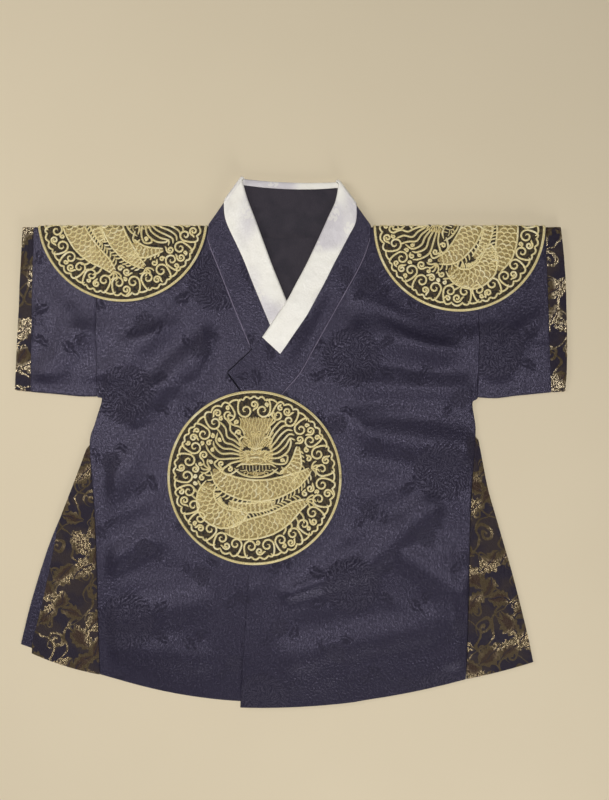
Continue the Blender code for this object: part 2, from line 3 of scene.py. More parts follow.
import bpy
import numpy as np
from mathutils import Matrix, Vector


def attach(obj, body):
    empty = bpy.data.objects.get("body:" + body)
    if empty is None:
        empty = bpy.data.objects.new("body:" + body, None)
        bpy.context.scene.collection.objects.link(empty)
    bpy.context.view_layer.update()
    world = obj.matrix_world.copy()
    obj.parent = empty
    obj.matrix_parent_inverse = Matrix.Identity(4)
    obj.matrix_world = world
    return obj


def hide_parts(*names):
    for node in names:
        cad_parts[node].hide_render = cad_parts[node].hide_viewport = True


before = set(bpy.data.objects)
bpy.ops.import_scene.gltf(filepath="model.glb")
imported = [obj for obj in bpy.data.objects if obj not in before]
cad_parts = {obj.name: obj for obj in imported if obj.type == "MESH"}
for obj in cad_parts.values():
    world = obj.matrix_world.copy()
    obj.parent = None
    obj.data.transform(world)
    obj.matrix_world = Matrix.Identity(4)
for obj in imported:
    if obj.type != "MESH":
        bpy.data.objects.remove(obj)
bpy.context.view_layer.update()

print("scene: frame loaded")

# Sizes are millimetres until a mesh is made. +X is the wearer's left, +Y goes up to the collar.
mm = 0.001
sheetOf = {"outside": 0.5, "inside": 0.1}        # cloth above and below the middle of its solid's wall
layer = 1.3                                      # from one layer of cloth to the next
edgeEase = 0.14                                  # how far a cloth reaches past its solid's edge
shoulderY = 190.0
neckY = 182.0

shoulderPatches = {
    "medallion_right": {"x": -148.8, "behind": 6.8, "radius": 75.4},
    "medallion_left": {"x": 149.4, "behind": -1.2, "radius": 76.1},
}
frontPatch = {"x": -32.2, "y": -31.2, "radius": 77.3}
patchWall = 1.2
patchLift = patchWall + 0.3
backZ = 0.5
frontZ = backZ + layer
patchBackZ = patchWall / 2
patchFrontZ = frontZ + patchLift + 0.8 + patchWall / 2
patchTurn = (patchFrontZ - patchBackZ) / 2

# Folds of the front cloth: x0, y0, x1, y1, height, half width
mainFolds = np.array([
    (-72, 88, -138, 28, 4.5, 10),
    (-116, 108, -166, 52, 3.2, 11),
    (-122, -6, -168, -40, 4.0, 14),
    (-112, -78, -166, -108, 4.2, 9),
    (-76, -140, -160, -158, 3.0, 12),
    (-70, -192, -150, -182, 2.2, 10),
    (40, 98, 132, 84, 3.6, 12),
    (62, 52, 158, 46, 2.6, 9),
    (56, 10, 158, -6, 4.0, 12),
    (2, -128, 62, -112, 4.6, 9),
    (62, -112, 122, -58, 5.0, 10),
    (96, -96, 148, -132, 3.0, 9),
    (6, -188, 118, -164, 2.8, 12),
    (136, -96, 144, -194, 2.6, 8),
    (-216, 62, -180, 108, 2.6, 10),
    (208, 112, 184, 62, 2.6, 10),
], float)
fineFolds = np.array([
    (-96, 132, -128, 84, 0.9, 4),
    (-60, 110, -86, 60, 0.8, 3.5),
    (-88, 44, -156, 60, 1.0, 5),
    (-120, 22, -164, 4, 1.0, 4),
    (-118, -50, -160, -66, 1.1, 5),
    (-100, -122, -150, -128, 0.9, 5),
    (-60, -160, -110, -176, 0.8, 5),
    (-30, -128, -64, -150, 0.8, 5),
    (60, 128, 108, 112, 0.9, 4),
    (48, 74, 96, 62, 0.8, 4),
    (70, 28, 130, 30, 1.0, 5),
    (46, -14, 92, -28, 0.9, 5),
    (60, -48, 120, -34, 1.1, 6),
    (52, -82, 96, -72, 1.0, 5),
    (10, -150, 70, -142, 0.8, 6),
    (84, -140, 140, -158, 1.0, 5),
    (30, -206, 84, -200, 0.7, 5),
    (120, -20, 156, -60, 0.9, 5),
    (-206, 96, -186, 140, 0.8, 4),
    (-222, 120, -198, 64, 0.7, 4),
    (216, 150, 196, 96, 0.8, 5),
    (222, 84, 190, 84, 0.7, 4),
    (-210, -94, -184, -104, 1.6, 5),
    (-214, -128, -184, -134, 1.0, 5),
    (196, -92, 176, -84, 1.2, 5),
], float)


# Shape helpers

def smooth(t):
    # cubic step: 3t2 - 2t3 between 0 and 1
    t = np.clip(t, 0.0, 1.0)
    return t * t * (3.0 - 2.0 * t)


def unit(vectors):
    # each vector divided by its length
    return vectors / np.maximum(np.linalg.norm(vectors, axis=-1, keepdims=True), 1e-9)


def curveThrough(points, count, closed=False):
    # Catmull-Rom curve through the points, read at evenly spaced parameters
    points = np.asarray(points, float)
    if closed:
        padded = np.concatenate([points[-1:], points, points[:2]])
        spans = len(points)
    else:
        padded = np.concatenate([2 * points[:1] - points[1:2], points, 2 * points[-1:] - points[-2:-1]])
        spans = len(points) - 1
    at = np.linspace(0.0, spans, count)
    span = np.minimum(at.astype(int), spans - 1)
    t = (at - span).reshape((-1,) + (1,) * (points.ndim - 1))
    a, b, c, d = (padded[span + k] for k in range(4))
    square, cube = 2 * a - 5 * b + 4 * c - d, 3 * b - a - 3 * c + d
    return 0.5 * (2 * b + (c - a) * t + square * t ** 2 + cube * t ** 3)


def awayFromLines(x, y, lines):
    # distance in plan from each point to each line, as one array with the lines last
    x0, y0, x1, y1 = (lines[:, k] for k in range(4))
    dx, dy = x1 - x0, y1 - y0
    along = ((x[..., None] - x0) * dx + (y[..., None] - y0) * dy) / (dx ** 2 + dy ** 2)
    along = np.clip(along, 0.0, 1.0)
    return np.hypot(x[..., None] - x0 - along * dx, y[..., None] - y0 - along * dy)


def liftOverPatches(x, y, side, level, ramp):
    # the cloth's rise over a shoulder patch: full inside the level width, then a smooth step down
    lift = np.zeros(x.shape)
    for patch in shoulderPatches.values():
        away = np.hypot(x - patch["x"], y - shoulderY - side * patch["behind"]) - patch["radius"]
        lift = np.maximum(lift, patchLift * (1.0 - smooth((away - level) / ramp)))
    return lift


collarRight = {
    "stations": [
        (-43.9, 236.3, -72.4, 194.7, 5.7), (-38.5, 217.0, -73.6, 184.5, 4.9),
        (-31.1, 197.4, -71.0, 173.5, 4.5), (-23.8, 177.5, -64.5, 157.2, 4.4),
        (-16.3, 157.2, -57.2, 138.5, 4.4), (-9.5, 140.3, -50.5, 121.5, 4.4),
        (-3.8, 126.2, -43.5, 104.5, 4.4), (2.5, 110.5, -36.0, 86.3, 4.4), (9.0, 94.0, -28.0, 66.0, 4.4),
    ],
    "stripEnd": 7,
}
collarLeft = {
    "stations": [
        (42.8, 233.6, 71.2, 193.0, 5.7), (39.7, 214.7, 70.0, 181.5, 4.9),
        (33.0, 199.5, 65.8, 168.0, 4.5), (23.5, 178.5, 59.0, 153.0, 4.9),
        (13.5, 157.2, 49.5, 136.0, 6.0), (5.0, 141.0, 40.0, 119.1, 7.4),
        (-3.3, 125.3, 30.6, 102.3, 8.3), (-14.0, 109.5, 20.0, 83.4, 8.3),
        (-25.3, 93.2, 8.2, 62.2, 7.0), (-35.1, 81.5, -3.0, 49.0, 5.4),
        (-45.5, 71.5, -14.5, 35.5, 4.2), (-55.8, 62.2, -26.6, 21.2, 3.4),
    ],
    "stripEnd": 8,
}


def seamLines():
    # the collar's seams and its squared end as straight pieces
    lines = []
    for collarSide in (collarRight, collarLeft):
        ends = np.array(collarSide["stations"])[:, 2:4]
        lines.append(np.concatenate([ends[:-1], ends[1:]], axis=1))
    lastRow = collarLeft["stations"][-1]
    lines.append(np.array([lastRow[:4]]))
    return np.concatenate(lines)


seams = seamLines()
seamPlaces = {"hemY": -232.0, "hemRise": 26.0, "hemHalf": 170.0, "armY": 66.0, "sideX": 168.0,
              "sleeveX": 166.0, "sleeveY": 48.0}
# how far folds stay away from an edge, and the width over which they rise to their full height
quietWidths = {"patch": (16.0, 15.0), "collar": (12.0, 14.0), "hem": 24.0, "arm": 20.0, "side": 16.0,
               "sleeve": 14.0}
creaseSizes = {"fine": 0.7, "wave": 0.08, "slow": 0.8}
puckerSizes = {"patch": 0.16, "collar": 0.10}
# each sewn-on patch as centre, radius and number of puckers round it
patchDiscs = [(patch["x"], shoulderY + patch["behind"], patch["radius"], 47)
              for patch in shoulderPatches.values()]
patchDiscs.append((frontPatch["x"], frontPatch["y"], frontPatch["radius"], 61))


def quietZones(x, y, clear=1.0):
    # 1 where the cloth may fold, falling to 0 beside patches, collar, side seams, sleeve seams and hem
    quiet = np.ones(x.shape)
    for centreX, centreY, radius, count in patchDiscs:
        away = np.hypot(x - centreX, y - centreY) - radius
        quiet = quiet * smooth((away - quietWidths["patch"][0] * clear) / quietWidths["patch"][1])
    away = awayFromLines(x, y, seams).min(axis=-1)
    quiet = quiet * smooth((away - quietWidths["collar"][0] * clear) / quietWidths["collar"][1])
    hemY = seamPlaces["hemY"] + seamPlaces["hemRise"] * (x / seamPlaces["hemHalf"]) ** 2
    quiet = quiet * smooth((y - hemY) / quietWidths["hem"])
    underArm = smooth((seamPlaces["armY"] - y) / quietWidths["arm"])
    sideSeam = smooth(np.abs(np.abs(x) - seamPlaces["sideX"]) / quietWidths["side"])
    sleeveSeam = smooth((y - seamPlaces["sleeveY"]) / quietWidths["sleeve"])
    onSleeve = np.where(np.abs(x) > seamPlaces["sleeveX"], sleeveSeam, 1.0)
    return quiet * (1.0 + underArm * (sideSeam - 1.0)) * onSleeve


def ridges(x, y, folds):
    # rounded ridges along the fold lines, joined where they meet as the fourth root of summed fourth powers
    away = awayFromLines(x, y, folds)
    heights = folds[:, 4] * (1.0 - smooth(away / (2.0 * folds[:, 5])))
    return (heights ** 4).sum(axis=-1) ** 0.25


def foldHeight(x, y):
    # the main folds of the solids, with small creases and a slow waviness added
    wave = np.sin(x / 13.0 + 1.3 * np.sin(y / 31.0)) * np.sin(y / 17.0 + 0.8 * np.sin(x / 23.0))
    slow = np.sin(x / 29.0 + y / 41.0) * np.cos(y / 33.0 - x / 57.0)
    fine = creaseSizes["fine"] * ridges(x, y, fineFolds) + creaseSizes["wave"] * wave
    fine = fine + creaseSizes["slow"] * (slow + 1.0)
    return ridges(x, y, mainFolds) * quietZones(x, y) + fine * quietZones(x, y, 0.35)


def puckers(x, y):
    # short ripples that run out from the edges of the sewn-on patches and from the collar's seams
    height = np.zeros(x.shape)
    for centreX, centreY, radius, count in patchDiscs:
        away = np.hypot(x - centreX, y - centreY) - radius
        turn = np.arctan2(y - centreY, x - centreX)
        ripple = np.sin(turn * count + 1.7 * np.sin(turn * 7.0)) * (0.6 + 0.4 * np.sin(turn * 5.0 + 1.0))
        ripple = ripple * smooth((away + 1.0) / 2.0) * smooth((16.0 - away) / 15.0)
        height = height + puckerSizes["patch"] * ripple
    nearSeam = awayFromLines(x, y, seams).min(axis=-1)
    height = height + puckerSizes["collar"] * np.sin((x * 0.6 + y) / 2.6) * smooth((9.0 - nearSeam) / 8.0)
    return height


def frontLevel(x, y):
    # the front cloth laid flat, lifted where it goes over the shoulder patches' edges
    return frontZ + liftOverPatches(x, y, side=1, level=28.0, ramp=20.0)


def outerFrontZ(x, y):
    # the front level with all its folds and puckers
    return frontLevel(x, y) + foldHeight(x, y) + puckers(x, y)


def rightFrontZ(x, y):
    # folds only where the right front is free of the lap
    free = smooth((-64.0 - x) / 18.0)
    return frontLevel(x, y) + (foldHeight(x, y) + puckers(x, y)) * free


def leftFrontZ(x, y):
    # one layer higher where the left front laps over the right one
    return outerFrontZ(x, y) + layer * (1.0 - smooth((x - 51.0) / 22.0))


def backLevel(x, y):
    # the back cloth laid flat, lifted over the half of each shoulder patch that is folded under
    return backZ + liftOverPatches(x, y, side=-1, level=14.0, ramp=18.0)


def frontPatchZ(x, y):
    # over the right front, a step up over the lap's edge and another over the collar's end
    overRight = frontZ + 0.8 + patchWall / 2
    return overRight + layer * smooth((x + 66.0) / 20.0) + 1.5 * smooth((y - 2.0) / 15.0)


def neckSeamY(x):
    # the back neck seam: level in the middle, rising in a cubic step to both sides
    return neckY + 5.5 * smooth((np.abs(x) - 30.0) / 38.0)


# Mesh helpers

def addPiece(name, points, faces, uv, material, slot):
    # puts points in metres, faces and the UV map into a new mesh object that rides with the garment
    mesh = bpy.data.meshes.new(name)
    mesh.from_pydata(points, [], faces)
    loopVertex = np.empty(len(mesh.loops), np.int32)
    mesh.loops.foreach_get("vertex_index", loopVertex)
    layerUv = mesh.uv_layers.new(name="cloth")
    layerUv.data.foreach_set("uv", uv[loopVertex].astype(np.float32).ravel())
    mesh.materials.append(material)
    mesh.shade_smooth()
    mesh.set_sharp_from_angle(angle=math.radians(48.0))
    piece = bpy.data.objects.new(name, mesh)
    bpy.context.scene.collection.objects.link(piece)
    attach(piece, "root")
    return piece


def gridFaces(rows, columns, closed):
    # quads of a grid; closed joins the last column to the first
    row, j = np.meshgrid(np.arange(rows - 1), np.arange(columns if closed else columns - 1), indexing="ij")
    here, below, k = row * columns, (row + 1) * columns, (j + 1) % columns
    return np.stack([here + j, here + k, below + k, below + j], axis=-1).reshape(-1, 4)


def rimOf(rows, columns, closed):
    # the grid's border as ordered pairs of corners, going the same way round as its faces
    index = np.arange(rows * columns).reshape(rows, columns)
    top, bottom = index[0], index[-1][::-1]
    if closed:
        loops = [np.append(top, top[0]), np.append(bottom, bottom[0])]
    else:
        loops = [np.concatenate([top, index[1:, -1], bottom[1:], index[::-1, 0][1:]])]
    return np.concatenate([np.stack([loop[:-1], loop[1:]], axis=1) for loop in loops])


def clothWall(name, middle, normals, uv, material, slot, sheet, closed=False):
    # a wall round a grid of points: the outside, the inside turned over, and a rim along the border
    rows, columns = middle.shape[:2]
    outside = np.broadcast_to(sheet["outside"], middle.shape[:2])[..., None]
    points = np.concatenate([middle + normals * outside, middle - normals * sheet["inside"]]).reshape(-1, 3)
    faces, rim, count = gridFaces(rows, columns, closed), rimOf(rows, columns, closed), rows * columns
    across, along = middle[0, 1] - middle[0, 0], middle[1, 0] - middle[0, 0]
    if np.dot(np.cross(across, along), normals[0, 0]) < 0:
        faces, rim = faces[:, ::-1], rim[:, ::-1]
    border = np.stack([rim[:, 1], rim[:, 0], rim[:, 0] + count, rim[:, 1] + count], axis=1)
    allFaces = np.concatenate([faces, faces[:, ::-1] + count, border])
    flatUv = np.tile(uv.reshape(-1, 2), (2, 1))
    return addPiece(name, points * mm, allFaces.tolist(), flatUv, material, slot)


def areaOf(uv):
    # flat area of a grid of UV points in square metres, by the shoelace sum over its quads
    d1, d2 = uv[1:, 1:] - uv[:-1, :-1], uv[1:, :-1] - uv[:-1, 1:]
    return float(np.abs(d1[..., 0] * d2[..., 1] - d1[..., 1] * d2[..., 0]).sum() / 2)


def declareSheet(piece, uv):
    # states the flat cut: the size of its box and its area
    size = uv.reshape(-1, 2).max(axis=0) - uv.reshape(-1, 2).min(axis=0)
    area = min(max(areaOf(uv), 0.3 * size[0] * size[1]), size[0] * size[1])
    print(f"flat cut {piece.name}: {size[0] * 1000:.0f} x {size[1] * 1000:.0f} mm, {area:.4f} m2")


# Node helpers

class Field:
    # a value that changes over the surface: its sums, products and comparisons are maths nodes of its tree
    def __init__(self, tree, socket):
        self.tree, self.socket = tree, socket

    def __add__(self, other):
        return maths("ADD", self, other)

    def __sub__(self, other):
        return maths("SUBTRACT", self, other)

    def __rsub__(self, other):
        return maths("SUBTRACT", other, self)

    def __mul__(self, other):
        return maths("MULTIPLY", self, other)

    def __truediv__(self, other):
        return maths("DIVIDE", self, other)

    def __rtruediv__(self, other):
        return maths("DIVIDE", other, self)

    def __lt__(self, other):
        return maths("LESS_THAN", self, other)

    def __gt__(self, other):
        return maths("GREATER_THAN", self, other)

    def timesPlus(self, factor, plus):
        return maths("MULTIPLY_ADD", self, factor, plus)

    def step(self, low, high):
        # 0 below low and 1 above high, smooth between
        ends = {0: self, 1: low, 2: high}
        return field(self.tree, "ShaderNodeMapRange", ends, interpolation_type="SMOOTHSTEP")


def setInput(tree, socket, value):
    # a field is linked, and a plain value is written
    if isinstance(value, Field):
        tree.links.new(value.socket, socket)
    else:
        socket.default_value = value


def addNode(tree, kind, inputs=None, **settings):
    node = tree.nodes.new(kind)
    for key, value in settings.items():
        setattr(node, key, value)
    for key, value in (inputs or {}).items():
        setInput(tree, node.inputs[key], value)
    return node


def field(tree, kind, inputs=None, out=0, **settings):
    return Field(tree, addNode(tree, kind, inputs, **settings).outputs[out])


def treeOf(values):
    return next(value.tree for value in values if isinstance(value, Field))


def maths(operation, *values):
    return field(treeOf(values), "ShaderNodeMath", dict(enumerate(values)), operation=operation)


def vectorMaths(operation, *values, out=0):
    tree = treeOf(values)
    return field(tree, "ShaderNodeVectorMath", dict(enumerate(values)), out=out, operation=operation)


def noise(vector, scale, detail=2.0, out=0):
    # flat noise over the cloth; out 1 gives its colour, for shifting a pattern both ways
    inputs = {"Vector": vector, "Scale": scale, "Detail": detail}
    return field(vector.tree, "ShaderNodeTexNoise", inputs, out=out, noise_dimensions="2D")


def blend(mask, first, second):
    # the first colour where the mask is 0, the second where it is 1
    return field(mask.tree, "ShaderNodeMix", {0: mask, 6: first, 7: second}, out=2, data_type="RGBA")


def splitXY(vector):
    node = addNode(vector.tree, "ShaderNodeSeparateXYZ", {0: vector})
    return Field(vector.tree, node.outputs[0]), Field(vector.tree, node.outputs[1])


def wrap(vector, wide, high):
    # repeats the plane in tiles that reach wide and high to each side of their middle
    return vectorMaths("WRAP", vector, (wide, high, 1.0), (-wide, -high, -1.0))


def newGroup(name, inputs, outputs):
    # a shader group; Vector is a vector, all its other sockets are numbers
    group = bpy.data.node_groups.new(name, "ShaderNodeTree")
    for label in inputs:
        kind = "NodeSocketVector" if label == "Vector" else "NodeSocketFloat"
        group.interface.new_socket(label, in_out="INPUT", socket_type=kind)
    for label in outputs:
        group.interface.new_socket(label, in_out="OUTPUT", socket_type="NodeSocketFloat")
    start = group.nodes.new("NodeGroupInput")
    return group, {label: Field(group, start.outputs[label]) for label in inputs}


def finishGroup(group, results):
    end = group.nodes.new("NodeGroupOutput")
    for label, value in results.items():
        setInput(group, end.inputs[label], value)
    return group


def useGroup(group, vector, **inputs):
    # the group placed in the vector's tree, as one field for each of its outputs
    node = addNode(vector.tree, "ShaderNodeGroup", node_tree=group)
    for label, value in {"Vector": vector, **inputs}.items():
        setInput(vector.tree, node.inputs[label], value)
    return {output.name: Field(vector.tree, output) for output in node.outputs}


# Shader groups shared by the cloths

inMillimetres = (1000.0, 1000.0, 0.0)
flowerHeart = 0.07
# each ring of petals: from, to, share of the petals, swirl
flowerRings = ((0.60, 1.0, 0.5, 1.1), (0.32, 0.66, 0.40, -1.4), (0.10, 0.36, 0.28, 1.8))


def flowerGroup():
    # a chrysanthemum: rings of narrow petals, stripes of |cos(n angle)| bent by a swirl that grows outwards;
    # 1 inside a petal, falling to 0 between two of them
    group, given = newGroup("flowerFigure", ("Vector", "Radius", "Petals"), ("Mask",))
    x, y = splitXY(given["Vector"])
    angle = maths("ARCTAN2", y, x)
    far = vectorMaths("LENGTH", given["Vector"], out=1) / given["Radius"]
    mask = far < flowerHeart
    for low, high, share, swirl in flowerRings:
        bent = far.timesPlus(swirl, angle)
        petals = maths("FLOOR", given["Petals"] * share)
        lobe = maths("ABSOLUTE", maths("COSINE", bent * petals))
        tip = maths("POWER", lobe, 0.8).timesPlus((high - low) * 0.6, low + (high - low) * 0.4)
        mask = maths("MAXIMUM", mask, (far < tip) * (far > low) * lobe.step(0.15, 0.70))
    return finishGroup(group, {"Mask": mask})


def leafGroup():
    # a leaf along its own x axis: |y| under a wavy width that falls as 1 - (x / length)^2; bare at the rib
    group, given = newGroup("leafFigure", ("Vector", "Turn", "Length", "Width", "Rib"), ("Mask",))
    angle = {"Vector": given["Vector"], "Angle": given["Turn"]}
    x, y = splitXY(field(group, "ShaderNodeVectorRotate", angle, rotation_type="Z_AXIS"))
    along = x / given["Length"]
    squared = along * along
    wave = maths("SINE", along * 15.0).timesPlus(0.16, 1.0)
    edge = (1.0 - squared) * wave * given["Width"]
    side = maths("ABSOLUTE", squared.timesPlus(1.2, y))
    return finishGroup(group, {"Mask": (side < edge) * (side > given["Rib"])})


# Damask tile in millimetres: flowers as place, radius, petals; leaves as place, turn, length, width
damaskTile = {
    "column": 80.0, "height": 203.6, "rib": 0.7,
    "flowers": [((0, 0), 27.0, 34.0), ((-14, -60), 9.5, 16.0), ((16, 66), 8.5, 14.0)],
    "leaves": [((31, -13), 0.5, 9, 4.4), ((-30, -16), 2.7, 9, 4.4), ((-31, 13), 3.6, 9, 4.4),
               ((30, 14), 5.7, 9, 4.4), ((-27, -54), 1.2, 8, 3.2), ((-4, -48), 0.4, 8, 3.2),
               ((29, 60), 2.0, 8, 3.2), ((6, 56), 5.4, 8, 3.2), ((22, -78), 1.0, 10, 3.6),
               ((13, -84), 2.3, 9, 3.2), ((-24, 82), 4.0, 10, 3.6), ((-15, 90), 5.5, 9, 3.2)],
}


def placeLeaf(leaf, tile, spot, share=(1.0, 1.0), rib=0.0):
    # one leaf of a tile, its length and width taken at the given shares
    (x, y), turn, length, width = spot
    local = vectorMaths("SUBTRACT", tile, (x, y, 0.0))
    return useGroup(leaf, local, Turn=turn, Length=length * share[0], Width=width * share[1], Rib=rib)["Mask"]


def damaskGroup(flower, leaf):
    # the tone-on-tone figure: columns of one tile, each column half a tile lower than the one before it
    group, given = newGroup("damaskFigure", ("Vector",), ("Mask",))
    even = vectorMaths("MULTIPLY", given["Vector"], inMillimetres)
    wander = vectorMaths("MULTIPLY_ADD", noise(even, 0.16, out=1), (7.0, 7.0, 0.0), (-3.5, -3.5, 0.0))
    wandering = vectorMaths("ADD", even, wander)
    wide, high = damaskTile["column"] / 2, damaskTile["height"] / 2
    column = maths("FLOOR", (splitXY(wandering)[0] + wide) / damaskTile["column"])
    drop = field(group, "ShaderNodeCombineXYZ", {1: maths("FLOORED_MODULO", column, 2.0) * high})
    tile = wrap(vectorMaths("ADD", wandering, drop), wide, high)
    mask = 0.0
    for (x, y), radius, petals in damaskTile["flowers"]:
        local = vectorMaths("SUBTRACT", tile, (x, y, 0.0))
        mask = maths("MAXIMUM", mask, useGroup(flower, local, Radius=radius, Petals=petals)["Mask"])
    for spot in damaskTile["leaves"]:
        mask = maths("MAXIMUM", mask, placeLeaf(leaf, tile, spot, rib=damaskTile["rib"]))
    broken = noise(even, 0.75, 1.0).step(0.24, 0.38)
    return finishGroup(group, {"Mask": mask * broken})


def weaveGroup():
    # fine threads: two crossed waves of the thread's width, shifted by noise, under a longer slub
    group, given = newGroup("threadWeave", ("Vector", "Thread", "Cross"), ("Height", "Glint"))
    place = given["Vector"]
    x, y = splitXY(vectorMaths("MULTIPLY_ADD", noise(place, 520.0, out=1), (0.0016, 0.0016, 0.0), place))
    rate = 2 * math.pi / given["Thread"]
    warp, weft = maths("SINE", x * rate), maths("SINE", y * rate)
    both = (warp * weft).timesPlus(given["Cross"], warp)
    # the slub's noise also comes out as Glint, which some cloths blend into their colour as painted glints as
    # well as using it for bump and roughness
    glint = noise(vectorMaths("MULTIPLY", place, (720.0, 400.0, 1.0)), 1.0, 1.0).step(0.28, 0.72)
    return finishGroup(group, {"Height": glint.timesPlus(2.0, both), "Glint": glint})


# Brocade tile in units of 1/740 m: coils as place and radius, leaves as above, stems as slant and rate
brocadeTile = {
    "unit": (740.0, 740.0, 0.0), "wide": 23.0, "high": 31.0, "rib": 0.35, "stemHalf": 0.75, "stemGap": 11.5,
    "coils": [((-8, 5), 6.2), ((10, -15), 4.2), ((14, 20), 3.4)],
    "leaves": [((8, 6), 0.7, 9.6, 5.6), ((-4, -14), 2.4, 10.0, 6.0), ((-16, -22), 4.0, 8.5, 4.6),
               ((18, 0), 1.9, 8.0, 4.4), ((-14, 22), 5.6, 9.5, 5.2), ((2, 24), 0.2, 7.5, 4.2)],
    "stems": [(0.45, 0.27), (-0.6, 0.21)],
}


def brocadeGroup(leaf):
    # vine scroll: rings with a coil inside, toothed leaves and wavy stems, in a half-drop tile
    group, given = newGroup("brocadeFigure", ("Vector",), ("Mask", "Vein"))
    raw = vectorMaths("MULTIPLY", given["Vector"], brocadeTile["unit"])
    wandering = vectorMaths("MULTIPLY_ADD", noise(raw, 0.09, 1.0, out=1), (5.0, 5.0, 0.0), raw)
    wide, high = brocadeTile["wide"], brocadeTile["high"]
    mask, vein = 0.0, 0.0
    for shift in ((0.0, 0.0, 0.0), (wide, high, 0.0)):
        tile = wrap(vectorMaths("ADD", wandering, shift), wide, high)
        for (x, y), radius in brocadeTile["coils"]:
            local = vectorMaths("SUBTRACT", tile, (x, y, 0.0))
            localX, localY = splitXY(local)
            far = vectorMaths("LENGTH", local, out=1)
            coil = maths("ARCTAN2", localY, localX).timesPlus(-radius / 9.5, far)
            band = maths("ABSOLUTE", maths("WRAP", coil, radius / 3.0, -radius / 3.0))
            mask = maths("MAXIMUM", mask, (far < radius) * (band < radius * 0.16))
        for spot in brocadeTile["leaves"]:
            mask = maths("MAXIMUM", mask, placeLeaf(leaf, tile, spot, rib=brocadeTile["rib"]))
            vein = maths("MAXIMUM", vein, placeLeaf(leaf, tile, spot, share=(0.8, 0.45)))
    x, y = splitXY(wandering)
    gap = brocadeTile["stemGap"]
    for slant, rate in brocadeTile["stems"]:
        bend = y.timesPlus(slant, x) + maths("SINE", y * rate) * 4.5
        stem = maths("ABSOLUTE", maths("WRAP", bend, gap, -gap))
        mask = maths("MAXIMUM", mask, stem < brocadeTile["stemHalf"])
    return finishGroup(group, {"Mask": mask, "Vein": vein})


flowerFigure, leafFigure, threadWeave = flowerGroup(), leafGroup(), weaveGroup()
damaskFigure, brocadeFigure = damaskGroup(flowerFigure, leafFigure), brocadeGroup(leafFigure)


# Materials

def newMaterial(name, values):
    # a Principled material with its unchanging values set on the sockets, and its cloth's own coordinates
    material = bpy.data.materials.new(name)
    material.use_nodes = True
    for label, value in values.items():
        material.node_tree.nodes["Principled BSDF"].inputs[label].default_value = value
    return material, field(material.node_tree, "ShaderNodeUVMap", uv_map="cloth")


def finishMaterial(material, values, height, strength, distance):
    # links each field to its socket, and a bump made from the height to the normal
    tree = material.node_tree
    bump = field(tree, "ShaderNodeBump", {"Height": height, "Strength": strength, "Distance": distance})
    for label, value in {**values, "Normal": bump}.items():
        setInput(tree, tree.nodes["Principled BSDF"].inputs[label], value)
    return material


satinLook = {
    "ground": (0.0085, 0.0070, 0.0175, 1), "worn": (0.0100, 0.0086, 0.0192, 1),
    "figure": (0.0105, 0.0088, 0.0190, 1), "paintedGlint": (0.0300, 0.0262, 0.0480, 1),
    "line": (0.041, 0.037, 0.056, 1),
    "groundRough": 0.43, "figureRough": 0.90, "glintRough": -0.20, "figureHeight": 1.6,
    "shader": {"Sheen Weight": 0.03, "Sheen Roughness": 0.4, "Sheen Tint": (0.60, 0.54, 0.80, 1),
               "Specular IOR Level": 0.60, "Specular Tint": (0.76, 0.71, 1.0, 1)},
}


def satinMaterial(name, figured=True):
    # dark satin with painted glints, light specks in its colour where the weave's glint noise peaks; its
    # woven figure is dull, with a light line round every petal
    look = satinLook
    material, cloth = newMaterial(name, look["shader"])
    weave = useGroup(threadWeave, cloth, Thread=0.00042, Cross=0.25)
    glint, height, rough = weave["Glint"], weave["Height"], look["groundRough"]
    mask = useGroup(damaskFigure, cloth)["Mask"] if figured else None
    ground = blend(noise(cloth, 26.0, 3.0).step(0.35, 0.7), look["ground"], look["worn"])
    # painted glints: the colour turns to the light glint colour where the weave's glint noise peaks
    colour = blend(glint * glint, ground, look["paintedGlint"])
    if figured:
        colour = blend(mask, colour, look["figure"])
        colour = blend(mask * (1.0 - mask) * 4.0, colour, look["line"])
        rough = mask.timesPlus(look["figureRough"] - look["groundRough"], look["groundRough"])
        height = mask.timesPlus(look["figureHeight"], height)
    rough = glint.timesPlus(look["glintRough"], rough)
    return finishMaterial(material, {"Base Color": colour, "Roughness": rough}, height, 0.5, 0.00006)


def brocadeMaterial(name, glintFrom, glintColour):
    # gold and brown leaves on dark cloth, with painted foil glints: a bright colour where the weave's glint
    # noise and a slow noise pass the given level
    material, cloth = newMaterial(name, {"Specular IOR Level": 0.32})
    scroll = useGroup(brocadeFigure, cloth)
    figure = scroll["Mask"]
    weave = useGroup(threadWeave, cloth, Thread=0.00065, Cross=0.6)
    # painted glints: clusters where the foil would catch light, from the weave's glint noise and a slow noise
    glint = weave["Glint"].step(0.20, 0.60) * noise(cloth, 42.0, 1.0).step(glintFrom, glintFrom + 0.16)
    ground = blend(noise(cloth, 48.0).step(0.4, 0.62), (0.016, 0.011, 0.026, 1), (0.032, 0.021, 0.024, 1))
    leaf = blend(scroll["Vein"], (0.092, 0.066, 0.034, 1), (0.058, 0.034, 0.024, 1))
    values = {"Base Color": blend(figure, ground, blend(glint, leaf, glintColour)),
              "Metallic": figure * glint.timesPlus(0.45, 0.45),
              "Roughness": figure.timesPlus(-0.26, glint.timesPlus(-0.10, 0.58))}
    crumple = noise(cloth, 330.0, 3.0) * 5.0
    return finishMaterial(material, values, figure.timesPlus(2.0, weave["Height"]) + crumple, 0.8, 0.00010)


